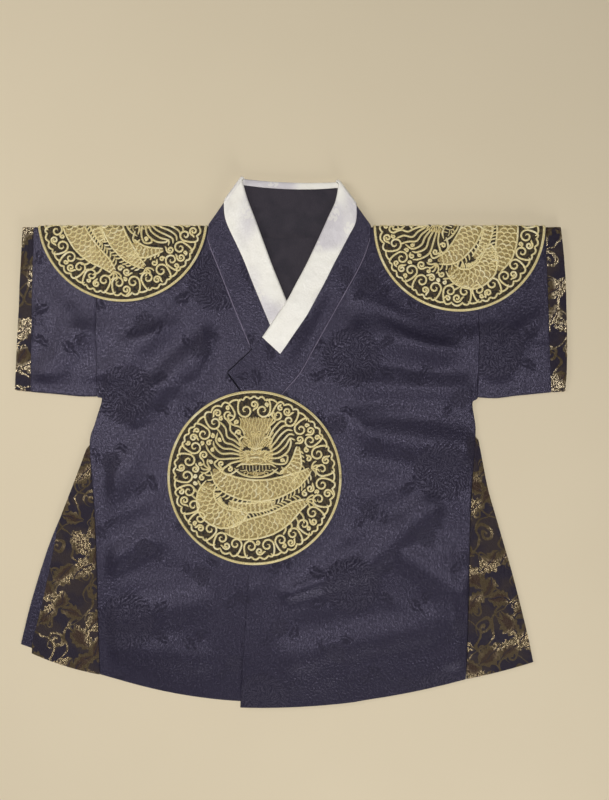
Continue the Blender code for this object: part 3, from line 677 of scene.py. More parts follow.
def whiteSatinMaterial():
    # warm white with greyer stretches in slow noise patches as painted shade, faint painted sheen patches,
    # small crushed waves and a row of woven flowers
    material, cloth = newMaterial("whiteSatin", {"Sheen Weight": 0.2, "Specular IOR Level": 0.9})
    weave = useGroup(threadWeave, cloth, Thread=0.00040, Cross=0.3)
    tile = wrap(vectorMaths("MULTIPLY", cloth, inMillimetres), 17.0, 11.0)
    figure = useGroup(flowerFigure, tile, Radius=7.5, Petals=6.0)["Mask"]
    soft = noise(cloth, 40.0)
    # painted sheen: two whites mixed by slow noise for soft brighter patches
    white = blend(soft, (0.96, 0.93, 0.86, 1), (1.0, 0.99, 0.93, 1))
    # painted shade: greyer stretches in slow noise patches
    base = blend(noise(cloth, 17.0, 1.0).step(0.34, 0.54), (0.70, 0.67, 0.71, 1), white)
    values = {"Base Color": blend(figure * 0.45, base, (1.0, 0.98, 0.90, 1)),
              "Roughness": figure.timesPlus(0.16, 0.32)}
    crushed = soft.timesPlus(90.0, weave["Height"])
    return finishMaterial(material, values, figure.timesPlus(1.2, crushed), 0.5, 0.00005)


def liningMaterial():
    # plain dull weave; darker in slow noise patches as painted shade where it is rumpled, and lighter where
    # the weave glints as painted glints
    material, cloth = newMaterial("darkLining", {"Sheen Weight": 0.15, "Specular IOR Level": 0.35})
    weave = useGroup(threadWeave, cloth, Thread=0.00055, Cross=1.0)
    # painted shade: the colour darkens in slow noise patches that stand for soft creases
    dark = blend(noise(cloth, 38.0).step(0.38, 0.62), (0.015, 0.012, 0.022, 1), (0.030, 0.024, 0.036, 1))
    # painted glints: lighter colour where the weave's glint noise peaks
    values = {"Base Color": blend(weave["Glint"] * 0.5, dark, (0.040, 0.033, 0.048, 1)),
              "Roughness": weave["Glint"].timesPlus(0.2, 0.55)}
    return finishMaterial(material, values, weave["Height"], 0.5, 0.00005)


def threadMaterial(name, pitch, slant, dark, light, pale, shader=None):
    # thread laid side by side: slanted stripes across the cord's length in its UV map, light on the threads'
    # tops and darker between them as painted shade in the grooves, paler in slow patches
    material, cloth = newMaterial(name, shader or {"Sheen Weight": 0.1, "Specular IOR Level": 0.6})
    x, y = splitXY(cloth)
    stripe = maths("SINE", y.timesPlus(slant, x) * (2 * math.pi / pitch))
    grain = noise(cloth, 900.0)
    # painted shade: the colour falls to the dark colour in the grooves between the twisted threads
    colour = blend(stripe.timesPlus(0.25, grain).step(0.25, 0.8), dark, light)
    colour = blend(noise(cloth, 60.0).step(0.5, 0.75) * 0.5, colour, pale)
    values = {"Base Color": colour, "Metallic": grain.timesPlus(0.25, 0.03),
              "Roughness": grain.timesPlus(0.25, 0.30)}
    return finishMaterial(material, values, stripe + grain, 0.6, 0.00010)


def patchGroundMaterial():
    # dark felt-like ground with brown stitches in it
    material, cloth = newMaterial("patchGround", {"Sheen Weight": 0.05, "Specular IOR Level": 0.3})
    weave = useGroup(threadWeave, cloth, Thread=0.0005, Cross=0.8)
    grain = noise(cloth, 520.0, 3.0)
    values = {"Base Color": blend(grain.step(0.35, 0.65), (0.009, 0.007, 0.009, 1), (0.080, 0.058, 0.027, 1)),
              "Roughness": grain.timesPlus(0.3, 0.45)}
    return finishMaterial(material, values, weave["Height"] + grain * 3.0, 0.6, 0.00008)


satin = satinMaterial("navyDamask")
plainSatin = satinMaterial("navySatin", figured=False)
# the cuffs' brocade has more and brighter painted glints than the gores'
brocade = brocadeMaterial("goldBrocade", 0.49, (0.46, 0.36, 0.22, 1))
cuffBrocade = brocadeMaterial("cuffBrocade", 0.38, (0.74, 0.62, 0.43, 1))
whiteSatin = whiteSatinMaterial()
lining = liningMaterial()
patchGround = patchGroundMaterial()
goldCord = threadMaterial("goldCord", 0.0011, 0.6, dark=(0.62, 0.50, 0.19, 1), light=(1.0, 0.90, 0.56, 1),
                          pale=(1.0, 0.96, 0.74, 1))
goldFill = threadMaterial("goldFill", 0.0009, 0.2, dark=(0.13, 0.09, 0.03, 1), light=(0.58, 0.44, 0.16, 1),
                          pale=(0.70, 0.57, 0.26, 1))
pipingThread = threadMaterial("pipingThread", 0.0008, 0.8, dark=(0.13, 0.11, 0.17, 1),
                              light=(0.30, 0.26, 0.38, 1), pale=(0.38, 0.34, 0.46, 1))
# a near-black thread for the cord that paints the shadow line along the collar's squared end
shadowLineThread = threadMaterial("shadowLineThread", 0.0008, 0.8, dark=(0.003, 0.0025, 0.005, 1),
                            light=(0.007, 0.006, 0.012, 1), pale=(0.009, 0.008, 0.014, 1),
                            shader={"Sheen Weight": 0.0, "Specular IOR Level": 0.1})
print("scene: materials made")


# Camera, floor and light

def lookFrom(name, data, place, target=(0.0, 0.0, 0.0)):
    # an object at place whose -Z axis points at target and whose top stays towards +Y
    item = bpy.data.objects.new(name, data)
    bpy.context.scene.collection.objects.link(item)
    item.location = place
    item.rotation_euler = (Vector(target) - Vector(place)).to_track_quat("-Z", "Y").to_euler()
    return item


view = {"x": 0.0122, "y": 0.0377, "height": 0.5556, "lens": 28.0}
cameraData = bpy.data.cameras.new("camera")
cameraData.lens = view["lens"]
cameraData.sensor_width = 36.0
cameraData.clip_start = 0.01
bpy.context.scene.camera = lookFrom("camera", cameraData, (view["x"], view["y"], view["height"]),
                                    (view["x"], view["y"], 0.0))

lamps = {
    "overhead": {"place": (0.03, -0.08, 1.50), "size": 0.70, "power": 12.3, "colour": (1.0, 0.98, 0.95)},
    "key": {"place": (-0.95, 0.30, 0.65), "size": 0.45, "power": 3.2, "colour": (1.0, 0.97, 0.92)},
    "fill": {"place": (0.50, -1.40, 0.45), "size": 0.60, "power": 8.4, "colour": (1.0, 0.98, 0.95)},
}
for lampName, values in lamps.items():
    lampData = bpy.data.lights.new(lampName, "AREA")
    lampData.shape = "DISK"
    lampData.size = values["size"]
    lampData.energy = values["power"]
    lampData.color = values["colour"]
    lookFrom(lampName, lampData, values["place"])

world = bpy.data.worlds.new("paleRoom")
bpy.context.scene.world = world
world.use_nodes = True
sky = world.node_tree.nodes["Background"]
sky.inputs["Color"].default_value = (1.0, 0.98, 0.95, 1)
sky.inputs["Strength"].default_value = 0.14
bpy.context.scene.view_settings.view_transform = "Standard"


def addFloor(size, low):
    # one level sheet under the garment, as a grid of a few quads
    x, y = np.meshgrid(np.linspace(-size, size, 5), np.linspace(-size, size, 5))
    points = np.stack([x, y, np.full(x.shape, low)], axis=-1).reshape(-1, 3)
    mesh = bpy.data.meshes.new("floor")
    mesh.from_pydata(points, [], gridFaces(5, 5, False).tolist())
    material = bpy.data.materials.new("paleFloor")
    material.use_nodes = True
    tree = material.node_tree
    shader = tree.nodes["Principled BSDF"]
    place = field(tree, "ShaderNodeTexCoord", out="Object")
    grain = field(tree, "ShaderNodeTexNoise", {"Vector": place, "Scale": 6.0, "Detail": 3.0})
    tone = blend(grain, (0.73, 0.635, 0.465, 1), (0.77, 0.675, 0.500, 1))
    setInput(tree, shader.inputs["Base Color"], tone)
    shader.inputs["Roughness"].default_value = 0.85
    mesh.materials.append(material)
    floor = bpy.data.objects.new("floor", mesh)
    bpy.context.scene.collection.objects.link(floor)


addFloor(3.0, -0.0003)
print("scene: camera, light and floor placed")


# Cloth panels

seamSoft = {"shares": np.array([0.0, 0.35, 0.9, 1.8]), "drop": 0.32, "reach": 1.8, "turn": 0.999}


def acrossShares(width, columns):
    # shares of the width: evenly spaced, with close columns beside both edges where the seam rounds off
    close = seamSoft["shares"] / width
    even = np.linspace(0.0, 1.0, columns + 1)
    even = even[(even > close[-1] * 1.6) & (even < 1.0 - close[-1] * 1.6)]
    return np.concatenate([close, even, 1.0 - close[::-1]])


def seamRounding(away):
    # how thick the outside is: a quarter turn down to the seam within the reach of an edge
    t = np.clip(1.0 - away / seamSoft["reach"], 0.0, 1.0)
    return sheetOf["outside"] - seamSoft["drop"] * (1.0 - np.sqrt(1.0 - t ** 2 * seamSoft["turn"]))


def shoulderTurn(x, front, back):
    # half circle over the shoulder fold and a short flat run back under, as rows of points and normals
    radius, centre = (front - back) / 2, (front + back) / 2
    angles = np.radians(np.linspace(180.0, 22.5, 8))[:, None]
    y = np.concatenate([np.full((1, len(x)), shoulderY - 2.0), shoulderY + radius * np.sin(angles)])
    z = np.concatenate([back[None, :], centre + radius * np.cos(angles)])
    tilt = np.concatenate([[math.pi], angles[:, 0]])
    normals = np.stack([np.zeros(y.shape), np.repeat(np.sin(tilt)[:, None], len(x), 1),
                        np.repeat(np.cos(tilt)[:, None], len(x), 1)], axis=-1)
    return np.stack([np.broadcast_to(x, y.shape), y, z], axis=-1), normals


def addPanel(name, spec):
    # a flat panel: sections blended by a curve down its length, straight shares across, height from its level
    table = curveThrough(spec["sections"], spec["rows"])
    width = float(np.abs(table[:, 2] - table[:, 0]).mean())
    share = acrossShares(width, spec["columns"])
    ease = np.sign(table[:, 2:3] - table[:, :1]) * edgeEase
    x0, x1 = table[:, :1] - ease, table[:, 2:3] + ease
    x = x0 + (x1 - x0) * share
    y = table[:, 1:2] + (table[:, 3:4] - table[:, 1:2]) * share - table[:, 4:5] * 4.0 * share * (1.0 - share)
    if spec.get("neck"):
        y = y + (neckSeamY(x) - neckY) * (1.0 - smooth((neckY - y) / 60.0))
    middle = np.stack([x, y, spec["level"](x, y)], axis=-1)
    normals = np.zeros(middle.shape)
    normals[..., 2] = 1.0
    outside = seamRounding(np.minimum(share, 1.0 - share) * np.abs(x1 - x0))
    if spec.get("shoulder"):
        turned, turnedNormals = shoulderTurn(x[0], middle[0, :, 2], backLevel(x[0], y[0]))
        middle, normals = np.concatenate([turned, middle]), np.concatenate([turnedNormals, normals])
        outside = np.concatenate([np.repeat(outside[:1], len(turned), 0), outside])
    run = np.linalg.norm(np.diff(middle[:, :, 1:], axis=0), axis=-1)
    down = np.concatenate([np.zeros((1, x.shape[1])), np.cumsum(run, axis=0)])
    uv = (np.stack([middle[..., 0], middle[0, :, 1] - down], axis=-1) + spec["weave"]) * mm
    if spec.get("underside"):
        sheet = {"outside": sheetOf["inside"], "inside": sheetOf["outside"]}
    else:
        sheet = {"outside": outside, "inside": sheetOf["inside"]}
    sheet = {key: value[::-1] if np.ndim(value) else value for key, value in sheet.items()}
    piece = clothWall(name, middle[::-1], normals[::-1], uv[::-1], spec["material"], spec["slot"], sheet)
    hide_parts(spec["node"])
    declareSheet(piece, uv)


# What panels have in common, then each panel with its sections: x and y of both edges, and the bow between
backPanel = {"level": backLevel, "rows": 70, "columns": 40, "material": satin, "slot": "satin",
             "restsOn": ["floor"], "neck": True, "underside": True}
backGore = {"level": backLevel, "rows": 44, "columns": 12, "material": plainSatin, "slot": "satin",
            "weave": (0.0, 0.0), "restsOn": ["floor"], "underside": True}
frontPanel = {"rows": 160, "columns": 76, "material": satin, "slot": "satin", "shoulder": True}
frontGore = {"level": outerFrontZ, "rows": 90, "columns": 22, "material": brocade, "slot": "brocade"}
panels = {
    "backLeftCloth": {
        **backPanel, "node": "back_left", "weave": (-80.0, 30.0),
        "sections": [
            (0.2, 181.1, 167.2, 181.1, 0), (0.2, 162.0, 167.1, 160.0, 0), (0.2, 142.0, 167.0, 140.0, 0),
            (0.2, 122.0, 166.9, 120.0, 0), (0.2, 102.0, 166.8, 100.0, 0), (0.2, 82.0, 166.7, 80.0, 0),
            (0.2, 60.0, 166.6, 58.0, 0), (0.2, 46.0, 166.4, 39.8, 0), (0.2, 34.6, 161.4, 34.6, 0),
            (0.2, 14.0, 164.2, 14.0, 0), (0.2, -4.0, 163.5, -4.0, 0), (0.2, -40.0, 160.9, -38.0, 0),
            (0.2, -82.0, 159.2, -80.0, 0), (0.2, -124.0, 158.0, -120.0, 0), (0.2, -165.0, 157.0, -155.0, 2.0),
            (0.2, -200.0, 156.4, -184.0, 3.6), (0.2, -231.0, 155.6, -207.0, 4.6),
        ],
    },
    "backRightCloth": {
        **backPanel, "node": "back_right", "weave": (80.0, 30.0),
        "sections": [
            (-0.2, 181.1, -172.3, 181.1, 0), (-0.2, 162.0, -172.3, 160.0, 0),
            (-0.2, 142.0, -172.4, 140.0, 0), (-0.2, 122.0, -172.4, 120.0, 0),
            (-0.2, 102.0, -172.4, 100.0, 0), (-0.2, 82.0, -172.5, 80.0, 0), (-0.2, 60.0, -172.5, 58.0, 0),
            (-0.2, 46.0, -172.3, 41.5, 0), (-0.2, 38.2, -167.9, 38.2, 0), (-0.2, 17.3, -174.0, 17.3, 0),
            (-0.2, 0.0, -178.8, 0.0, 0), (-0.2, -40.0, -176.2, -40.0, 0), (-0.2, -82.0, -173.7, -80.0, 0),
            (-0.2, -124.0, -172.4, -120.0, 0), (-0.2, -165.0, -171.5, -155.0, 3.0),
            (-0.2, -200.0, -170.6, -182.0, 5.5), (-0.2, -231.0, -169.6, -206.4, 8.2),
        ],
    },
    "goreBackLeftCloth": {
        **backGore, "node": "gore_back_left",
        "sections": [
            (164.5, 5.0, 166.7, 2.0, 0), (161.6, -40.4, 174.7, -42.1, 0), (159.9, -90.0, 188.3, -90.0, 0),
            (158.4, -143.0, 202.9, -143.5, 0), (156.6, -207.0, 214.4, -193.0, 1.0),
        ],
    },
    "goreBackRightCloth": {
        **backGore, "node": "gore_back_right", "columns": 14,
        "sections": [
            (-179.3, -2.5, -181.9, -6.5, 0), (-176.7, -43.5, -198.4, -50.0, 0),
            (-174.0, -92.0, -215.8, -92.5, 0), (-172.4, -140.0, -231.0, -141.0, 0),
            (-170.4, -205.2, -240.7, -180.0, 0),
        ],
    },
    "backLiningCloth": {
        "node": "back_lining", "level": frontLevel, "rows": 26, "columns": 26, "material": lining,
        "slot": "lining", "weave": (0.0, 0.0), "restsOn": ["backLeftCloth", "backRightCloth"],
        "sections": [
            (-33.0, 181.7, 33.0, 181.7, 0), (-31.0, 160.0, 30.0, 160.0, 0), (-27.0, 138.0, 25.0, 138.0, 0),
            (-20.0, 114.0, 18.0, 114.0, 0),
        ],
    },
    "frontRightCloth": {
        **frontPanel, "node": "front_right", "level": rightFrontZ, "rows": 150, "weave": (145.7, 168.0),
        "restsOn": ["backRightCloth", "backLeftCloth"],
        "sections": [
            (-75.0, 190.0, -172.3, 190.0, 0), (-69.5, 174.0, -172.3, 172.0, 0),
            (-60.0, 157.2, -172.4, 150.0, 0), (-53.2, 140.0, -172.4, 128.0, 0),
            (-43.5, 115.0, -172.4, 104.0, 0), (-33.5, 90.5, -172.5, 82.0, 0),
            (-20.0, 62.0, -172.5, 60.0, 0), (0.0, 36.0, -172.3, 41.5, 0), (24.0, 16.0, -167.9, 38.2, 0),
            (43.0, -8.0, -174.0, 17.3, 0), (44.0, -32.0, -178.8, 0.0, 0), (44.0, -60.0, -176.6, -35.0, 0),
            (44.0, -90.0, -174.2, -70.0, 0), (44.2, -122.0, -172.8, -105.0, 0),
            (44.6, -155.0, -171.9, -140.0, 2.5), (45.0, -192.0, -171.0, -172.0, 6.0),
            (45.0, -227.0, -169.8, -206.0, 11.0),
        ],
    },
    "frontLeftCloth": {
        **frontPanel, "node": "front_left", "level": leftFrontZ, "weave": (-54.3, 134.9),
        "restsOn": ["frontRightCloth", "backLeftCloth"],
        "sections": [
            (71.0, 190.0, 167.2, 190.0, 0), (65.5, 176.0, 167.1, 172.0, 0),
            (58.2, 158.5, 167.0, 150.0, 0), (44.5, 134.0, 166.9, 128.0, 0),
            (31.0, 110.0, 166.8, 104.0, 0), (17.5, 86.5, 166.8, 82.0, 0), (4.5, 64.0, 166.7, 60.0, 0),
            (-11.0, 45.5, 166.6, 47.0, 0), (-28.0, 24.5, 166.4, 39.8, 0), (-29.2, 8.0, 161.4, 34.6, 0),
            (-30.2, -8.0, 164.2, 14.0, 0), (-31.6, -30.0, 163.5, -4.0, 0),
            (-33.4, -60.0, 161.0, -36.0, 0), (-35.4, -90.0, 159.6, -70.0, 0),
            (-37.4, -122.0, 158.6, -105.0, 0), (-39.8, -155.0, 157.6, -140.0, 1.5),
            (-42.4, -195.0, 156.8, -175.0, 4.0), (-44.7, -235.2, 155.6, -210.6, 7.6),
        ],
    },
    "goreFrontLeftCloth": {
        **frontGore, "node": "gore_front_left", "weave": (0.0, 0.0), "restsOn": ["goreBackLeftCloth"],
        "sections": [
            (164.5, 5.0, 166.9, 2.0, 0), (162.9, -17.0, 170.9, -19.0, 0), (161.5, -40.4, 175.5, -42.1, 0),
            (160.4, -65.0, 182.3, -66.0, 0), (159.8, -90.0, 189.3, -90.0, 0),
            (159.1, -115.0, 196.5, -115.0, 0), (158.4, -143.0, 203.9, -143.5, 0),
            (157.6, -174.0, 211.0, -173.0, 0), (156.4, -210.4, 215.6, -195.3, 1.0),
        ],
    },
    "goreFrontRightCloth": {
        **frontGore, "node": "gore_front_right", "columns": 24, "weave": (7.0, 12.0),
        "restsOn": ["goreBackRightCloth"],
        "sections": [
            (-179.3, -2.5, -182.0, -6.5, 0), (-178.0, -22.0, -189.2, -26.0, 0),
            (-176.6, -43.5, -198.4, -50.0, 0), (-174.9, -68.0, -206.2, -71.0, 0),
            (-173.9, -92.0, -210.7, -94.3, 0), (-173.1, -116.0, -215.6, -118.0, 0),
            (-172.4, -144.0, -222.0, -147.0, 0), (-171.6, -172.0, -229.4, -176.0, 0),
            (-170.3, -206.4, -230.4, -187.6, 2.0),
        ],
    },
}
for panelName, panel in panels.items():
    addPanel(panelName, panel)
print("scene: panels cut and laid")


# Sleeves and cuffs

def addTube(name, spec):
    # a flattened tube: up the front, a half circle over the top fold, down the back and round the seam
    table = curveThrough(spec["rings"], spec["rows"])
    rise = 0.5 - 0.5 * np.cos(np.linspace(0.0, math.pi, spec["columns"]))
    heights = 0.35 * rise + 0.65 * np.linspace(0.0, 1.0, spec["columns"])
    along = np.linspace(0.0, 1.0, spec["rows"])[:, None]
    ease = np.linspace(-edgeEase, edgeEase, spec["rows"])[:, None] * np.sign(table[-1, 0] - table[0, 0])
    x = table[:, 1:2] + (table[:, :1] - table[:, 1:2]) * heights + ease
    x = x + spec["bow"] * along * 4.0 * heights * (1.0 - heights)
    y = table[:, 2:3] + (shoulderY - table[:, 2:3]) * heights
    front, back = outerFrontZ(x, y), backLevel(x, y)
    turn = np.radians(np.linspace(22.5, 157.5, 7))
    parts, tilts = [np.stack([x, y, front], axis=-1)], [np.zeros(x.shape)]
    for end, angles in ((-1, turn), (0, -turn[::-1])):
        radius = (front[:, end] - back[:, end])[:, None] / 2
        centre = (front[:, end] + back[:, end])[:, None] / 2
        bend = np.stack(np.broadcast_arrays(x[:, end][:, None], y[:, end][:, None] + radius * np.sin(angles),
                                            centre + radius * np.cos(angles)), axis=-1)
        parts.append(bend)
        tilts.append(np.broadcast_to(angles, bend.shape[:2]))
        if end == -1:
            parts.append(np.stack([x, y, back], axis=-1)[:, ::-1])
            tilts.append(np.full(x.shape, math.pi))
    middle, tilt = np.concatenate(parts, axis=1), np.concatenate(tilts, axis=1)
    normals = np.stack([np.zeros(tilt.shape), np.sin(tilt), np.cos(tilt)], axis=-1)
    girth = np.linalg.norm(np.diff(middle[:, :, 1:], axis=1), axis=-1)
    runRound = np.concatenate([np.zeros((len(x), 1)), np.cumsum(girth, axis=1)], axis=1)
    uv = (np.stack([middle[..., 0], y[:, :1] + runRound], axis=-1) + spec["weave"]) * mm
    reach = np.abs(table[:, 0] - table[0, 0]), np.abs(table[:, 0] - table[-1, 0])
    upper = smooth((np.cos(tilt) + 0.6) / 0.6)
    outside = seamRounding(np.minimum(*reach))[:, None] * upper + sheetOf["outside"] * (1.0 - upper)
    piece = clothWall(name, middle, normals, uv, spec["material"], spec["slot"],
                      {"outside": outside, "inside": sheetOf["inside"]}, closed=True)
    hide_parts(spec["node"])
    declareSheet(piece, uv)


# Rings from the armhole outwards: x at the top fold, x and y at the lower seam
sleeveTube = {"rows": 40, "columns": 66, "bow": 0.0, "material": satin, "slot": "satin"}
cuffTube = {"rows": 14, "columns": 60, "bow": 0.0, "material": cuffBrocade, "slot": "brocade"}
tubes = {
    "sleeveLeftCloth": {
        **sleeveTube, "node": "sleeve_left", "weave": (-180.8, -82.0),
        "rings": [(167.6, 167.1, 41.0), (182.0, 183.0, 40.4), (197.0, 199.5, 42.4), (211.0, 215.5, 44.0),
                  (225.8, 231.6, 45.6)],
    },
    "sleeveRightCloth": {
        **sleeveTube, "node": "sleeve_right", "weave": (252.0, -104.0),
        "rings": [(-172.7, -173.0, 41.8), (-186.5, -187.5, 42.0), (-200.5, -202.5, 43.4),
                  (-214.5, -217.5, 44.8), (-228.0, -231.4, 46.0)],
    },
    "cuffLeftCloth": {
        **cuffTube, "node": "cuff_left", "bow": 3.2, "weave": (4.0, 9.0),
        "rings": [(226.2, 232.0, 45.6), (232.6, 238.4, 46.0), (239.4, 244.2, 46.3)],
    },
    "cuffRightCloth": {
        **cuffTube, "node": "cuff_right", "weave": (11.0, 3.0),
        "rings": [(-228.4, -231.8, 46.2), (-233.2, -238.4, 46.8), (-237.8, -245.4, 47.6)],
    },
}
for tubeName, tube in tubes.items():
    addTube(tubeName, tube)
print("scene: sleeves and cuffs made")


# Collar and its white strip

collarSizes = {"stripWidth": 22.0, "stripTurnedIn": 6.4, "overPanel": layer + 0.15,
               "backInnerZ": backZ + layer, "dip": 1.6, "inset": layer + 0.5, "backRows": 44,
               "perStation": 7, "shares": 30}


def collarOuterZ(x, y):
    # the seam edge lies on the front that it is sewn to
    onRight = (x < -27.0) & (y > 60.0)
    return np.where(onRight, rightFrontZ(x, y), leftFrontZ(x, y)) + collarSizes["overPanel"]


def collarFront(stations):
    # rows of inner point, outer point and normal down one front, from just past the neck fold to the end
    table = curveThrough(stations, (len(stations) - 1) * collarSizes["perStation"] + 1)[1:]
    inner = table[:, [0, 1, 4]]
    outer = np.column_stack([table[:, 2:4], collarOuterZ(table[:, 2], table[:, 3])])
    return inner, outer, np.tile((0.0, 0.0, 1.0), (len(table), 1))


def collarTurn(stations):
    # rows round the fold at one side of the neck: a half circle outward from each end of the first station
    inner, outer = np.array(stations[0][:2]), np.array(stations[0][2:4])
    edge = (inner - outer) / np.linalg.norm(inner - outer)
    outward = np.array((-edge[1], edge[0])) * (1.0 if inner[0] < 0 else -1.0)
    tops = (stations[0][4], float(collarOuterZ(outer[0], outer[1])))
    angle = np.radians(np.arange(0.0, 181.0, 15.0))
    ends = []
    lows, insets = (collarSizes["backInnerZ"], backZ), (collarSizes["inset"], 0.5)
    for point, top, low, inset in zip((inner, outer), tops, lows, insets):
        radius = (top - low) / 2
        plan = point + outward * (radius * (np.sin(angle) - 1.0) - inset)[:, None]
        ends.append(np.column_stack([plan, (top + low) / 2 + radius * np.cos(angle)]))
    normals = np.column_stack([outward * np.sin(angle)[:, None], np.cos(angle)])
    return ends[0], ends[1], normals


def collarRows():
    # the whole ribbon from the right front's end round the neck to the left front's end
    right = collarTurn(collarRight["stations"])
    left = [part[::-1] for part in collarTurn(collarLeft["stations"])]
    share = np.linspace(0.0, 1.0, collarSizes["backRows"] + 1)[1:-1, None]
    inner = right[0][-1] + (left[0][0] - right[0][-1]) * share
    outer = right[1][-1] + (left[1][0] - right[1][-1]) * share
    inner[:, 1] -= collarSizes["dip"] * 4.0 * share[:, 0] * (1.0 - share[:, 0])
    outer[:, 1] = neckSeamY(outer[:, 0])
    back = (inner, outer, np.tile((0.0, 0.0, -1.0), (len(share), 1)))
    frontRight, frontLeft = collarFront(collarRight["stations"]), collarFront(collarLeft["stations"])
    runs = ([part[::-1] for part in frontRight], right, back, left, frontLeft)
    return [np.concatenate([run[k] for run in runs]) for k in range(3)]


def onCollar(inner, outer, share):
    # points at a share of the width; the inner half is level and the outer half comes down in a cubic step
    points = inner + (outer - inner) * share[..., None]
    points[..., 2] = inner[..., 2] + (outer[..., 2] - inner[..., 2]) * smooth((share - 0.5) / 0.4)
    return points


def planEdge(inner, outer):
    # the direction in plan from the seam edge to the inner edge
    return unit((inner - outer) * (1.0, 1.0, 0.0))


def lengthAlong(points):
    # running length of a line of points
    return np.concatenate([[0.0], np.cumsum(np.linalg.norm(np.diff(points, axis=0), axis=1))])


def addCollar():
    # the ribbon, set back under the white strip where it carries one; its inside is the lining's cloth
    inner, outer, normals = collarRows()
    first, last = stripSpan(len(inner))
    inset = np.zeros(len(inner))
    inset[first:last + 1] = collarSizes["inset"]
    inner = inner - planEdge(inner, outer) * inset[:, None]
    width = float(np.linalg.norm(inner - outer, axis=1).mean())
    shares = acrossShares(width, collarSizes["shares"])
    middle = onCollar(inner[:, None], outer[:, None], np.broadcast_to(shares, (len(inner), len(shares))))
    spread = np.repeat(normals[:, None], len(shares), axis=1)
    run = lengthAlong(middle[:, len(shares) // 2])
    wide = np.linalg.norm(outer - inner, axis=1)
    run = run - run[len(run) // 2]
    uv = np.stack([np.repeat(run[:, None], len(shares), 1), -wide[:, None] * shares], axis=-1) * mm
    outside = np.repeat(seamRounding((1.0 - shares) * width)[None], len(inner), 0)
    sheet = {"outside": outside, "inside": sheetOf["inside"]}
    piece = clothWall("collarBand", middle, spread, uv, satin, "satin", sheet)
    piece.data.materials.append(lining)
    quads = (len(middle) - 1) * (len(shares) - 1)
    facing = np.zeros(len(piece.data.polygons), np.int32)
    facing[quads:2 * quads] = 1
    piece.data.polygons.foreach_set("material_index", facing)
    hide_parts("collar")
    declareSheet(piece, uv)


def stripSpan(count):
    # the rows between which the collar carries the white strip
    per = collarSizes["perStation"]
    first = (len(collarRight["stations"]) - 1 - collarRight["stripEnd"]) * per
    return first, count - 1 - (len(collarLeft["stations"]) - 1 - collarLeft["stripEnd"]) * per


def addStrip():
    # the white strip's section: over the collar from its folded edge, round the inner edge, a flap inside
    inner, outer, normals = collarRows()
    first, last = stripSpan(len(inner))
    inner, outer, normals = (part[first:last + 1] for part in (inner, outer, normals))
    width = np.linalg.norm(inner - outer, axis=1) - collarSizes["inset"]
    edge = planEdge(inner, outer)
    inner = inner - edge * collarSizes["inset"]
    atNeck = smooth((inner[:, 1] - 160.0) / 65.0) * smooth((normals[:, 2] + 0.9) / 0.6)
    reach = collarSizes["stripWidth"] - collarSizes["inset"]
    widen = 1.0 + 0.24 * atNeck
    face = np.concatenate([reach - np.array([0.0, 0.25, 0.7, 1.5]), np.linspace(reach - 2.6, 0.0, 12)])
    angles = np.radians(np.linspace(20.0, 160.0, 8))
    flap = np.linspace(0.0, collarSizes["stripTurnedIn"] - collarSizes["inset"], 4)
    middle, outward = [], []
    for distance in face:
        middle.append(onCollar(inner, outer, distance * widen / width) + normals * layer)
        outward.append(normals)
    for angle in angles:
        turned = edge * math.sin(angle) + normals * math.cos(angle)
        middle.append(inner + turned * layer)
        outward.append(turned)
    for distance in flap:
        middle.append(onCollar(inner, outer, distance / width) - normals * layer)
        outward.append(-normals)
    middle, outward = np.stack(middle, axis=1), np.stack(outward, axis=1)
    across = np.concatenate([[0.0], np.cumsum(np.linalg.norm(np.diff(middle, axis=1), axis=-1).mean(axis=0))])
    run = lengthAlong(middle[:, 10])
    uv = np.stack(np.broadcast_arrays(run[:, None], -across), axis=-1) * mm
    thick = np.full(len(across), 0.5)
    thick[:4] = (0.12, 0.32, 0.45, 0.5)
    sheet = {"outside": np.repeat(thick[None], len(run), 0), "inside": 0.2}
    piece = clothWall("dongjeongSatin", middle, outward, uv, whiteSatin, "white_satin", sheet)
    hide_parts("dongjeong")
    declareSheet(piece, uv)


addCollar()
addStrip()

# pale is the width of the seam cords; dark is the width of the near-black cord that paints the shadow line
# along the collar's squared end
pipingSizes = {"pale": 1.0, "dark": 1.3}


def addPiping(name, edge, inward, width, material):
    # a fine cord laid on the front cloth just outside an edge of the collar: circles carried along the edge
    away = unit(edge - inward)
    plan = edge + away * width * 0.35
    level = collarOuterZ(plan[:, 0], plan[:, 1]) - collarSizes["overPanel"] + sheetOf["outside"] + width * 0.4
    centre = np.column_stack([plan, level])
    side = unit(np.cross(unit(np.gradient(centre, axis=0)), (0.0, 0.0, 1.0)))
    turn = np.linspace(0.0, 2 * math.pi, 9)[:-1]
    fromEnd = np.minimum(np.arange(len(plan)), np.arange(len(plan))[::-1])
    half = width / 2 * np.sqrt(np.clip(fromEnd / 2.0 + 0.1, 0.0, 1.0))
    circle = np.cos(turn)[:, None] * side[:, None] + np.sin(turn)[:, None] * np.array((0.0, 0.0, 1.0))
    ring = (centre[:, None] + half[:, None, None] * circle).reshape(-1, 3)
    count, sides = len(plan), len(turn)
    ends = [list(range(sides)), list(range(count * sides - 1, (count - 1) * sides - 1, -1))]
    faces = gridFaces(count, sides, True)[:, ::-1].tolist() + ends
    uv = np.stack(np.broadcast_arrays(lengthAlong(centre)[:, None], turn * width / 2), axis=-1)
    addPiece(name, ring * mm, faces, uv.reshape(-1, 2) * mm, material, "satin")


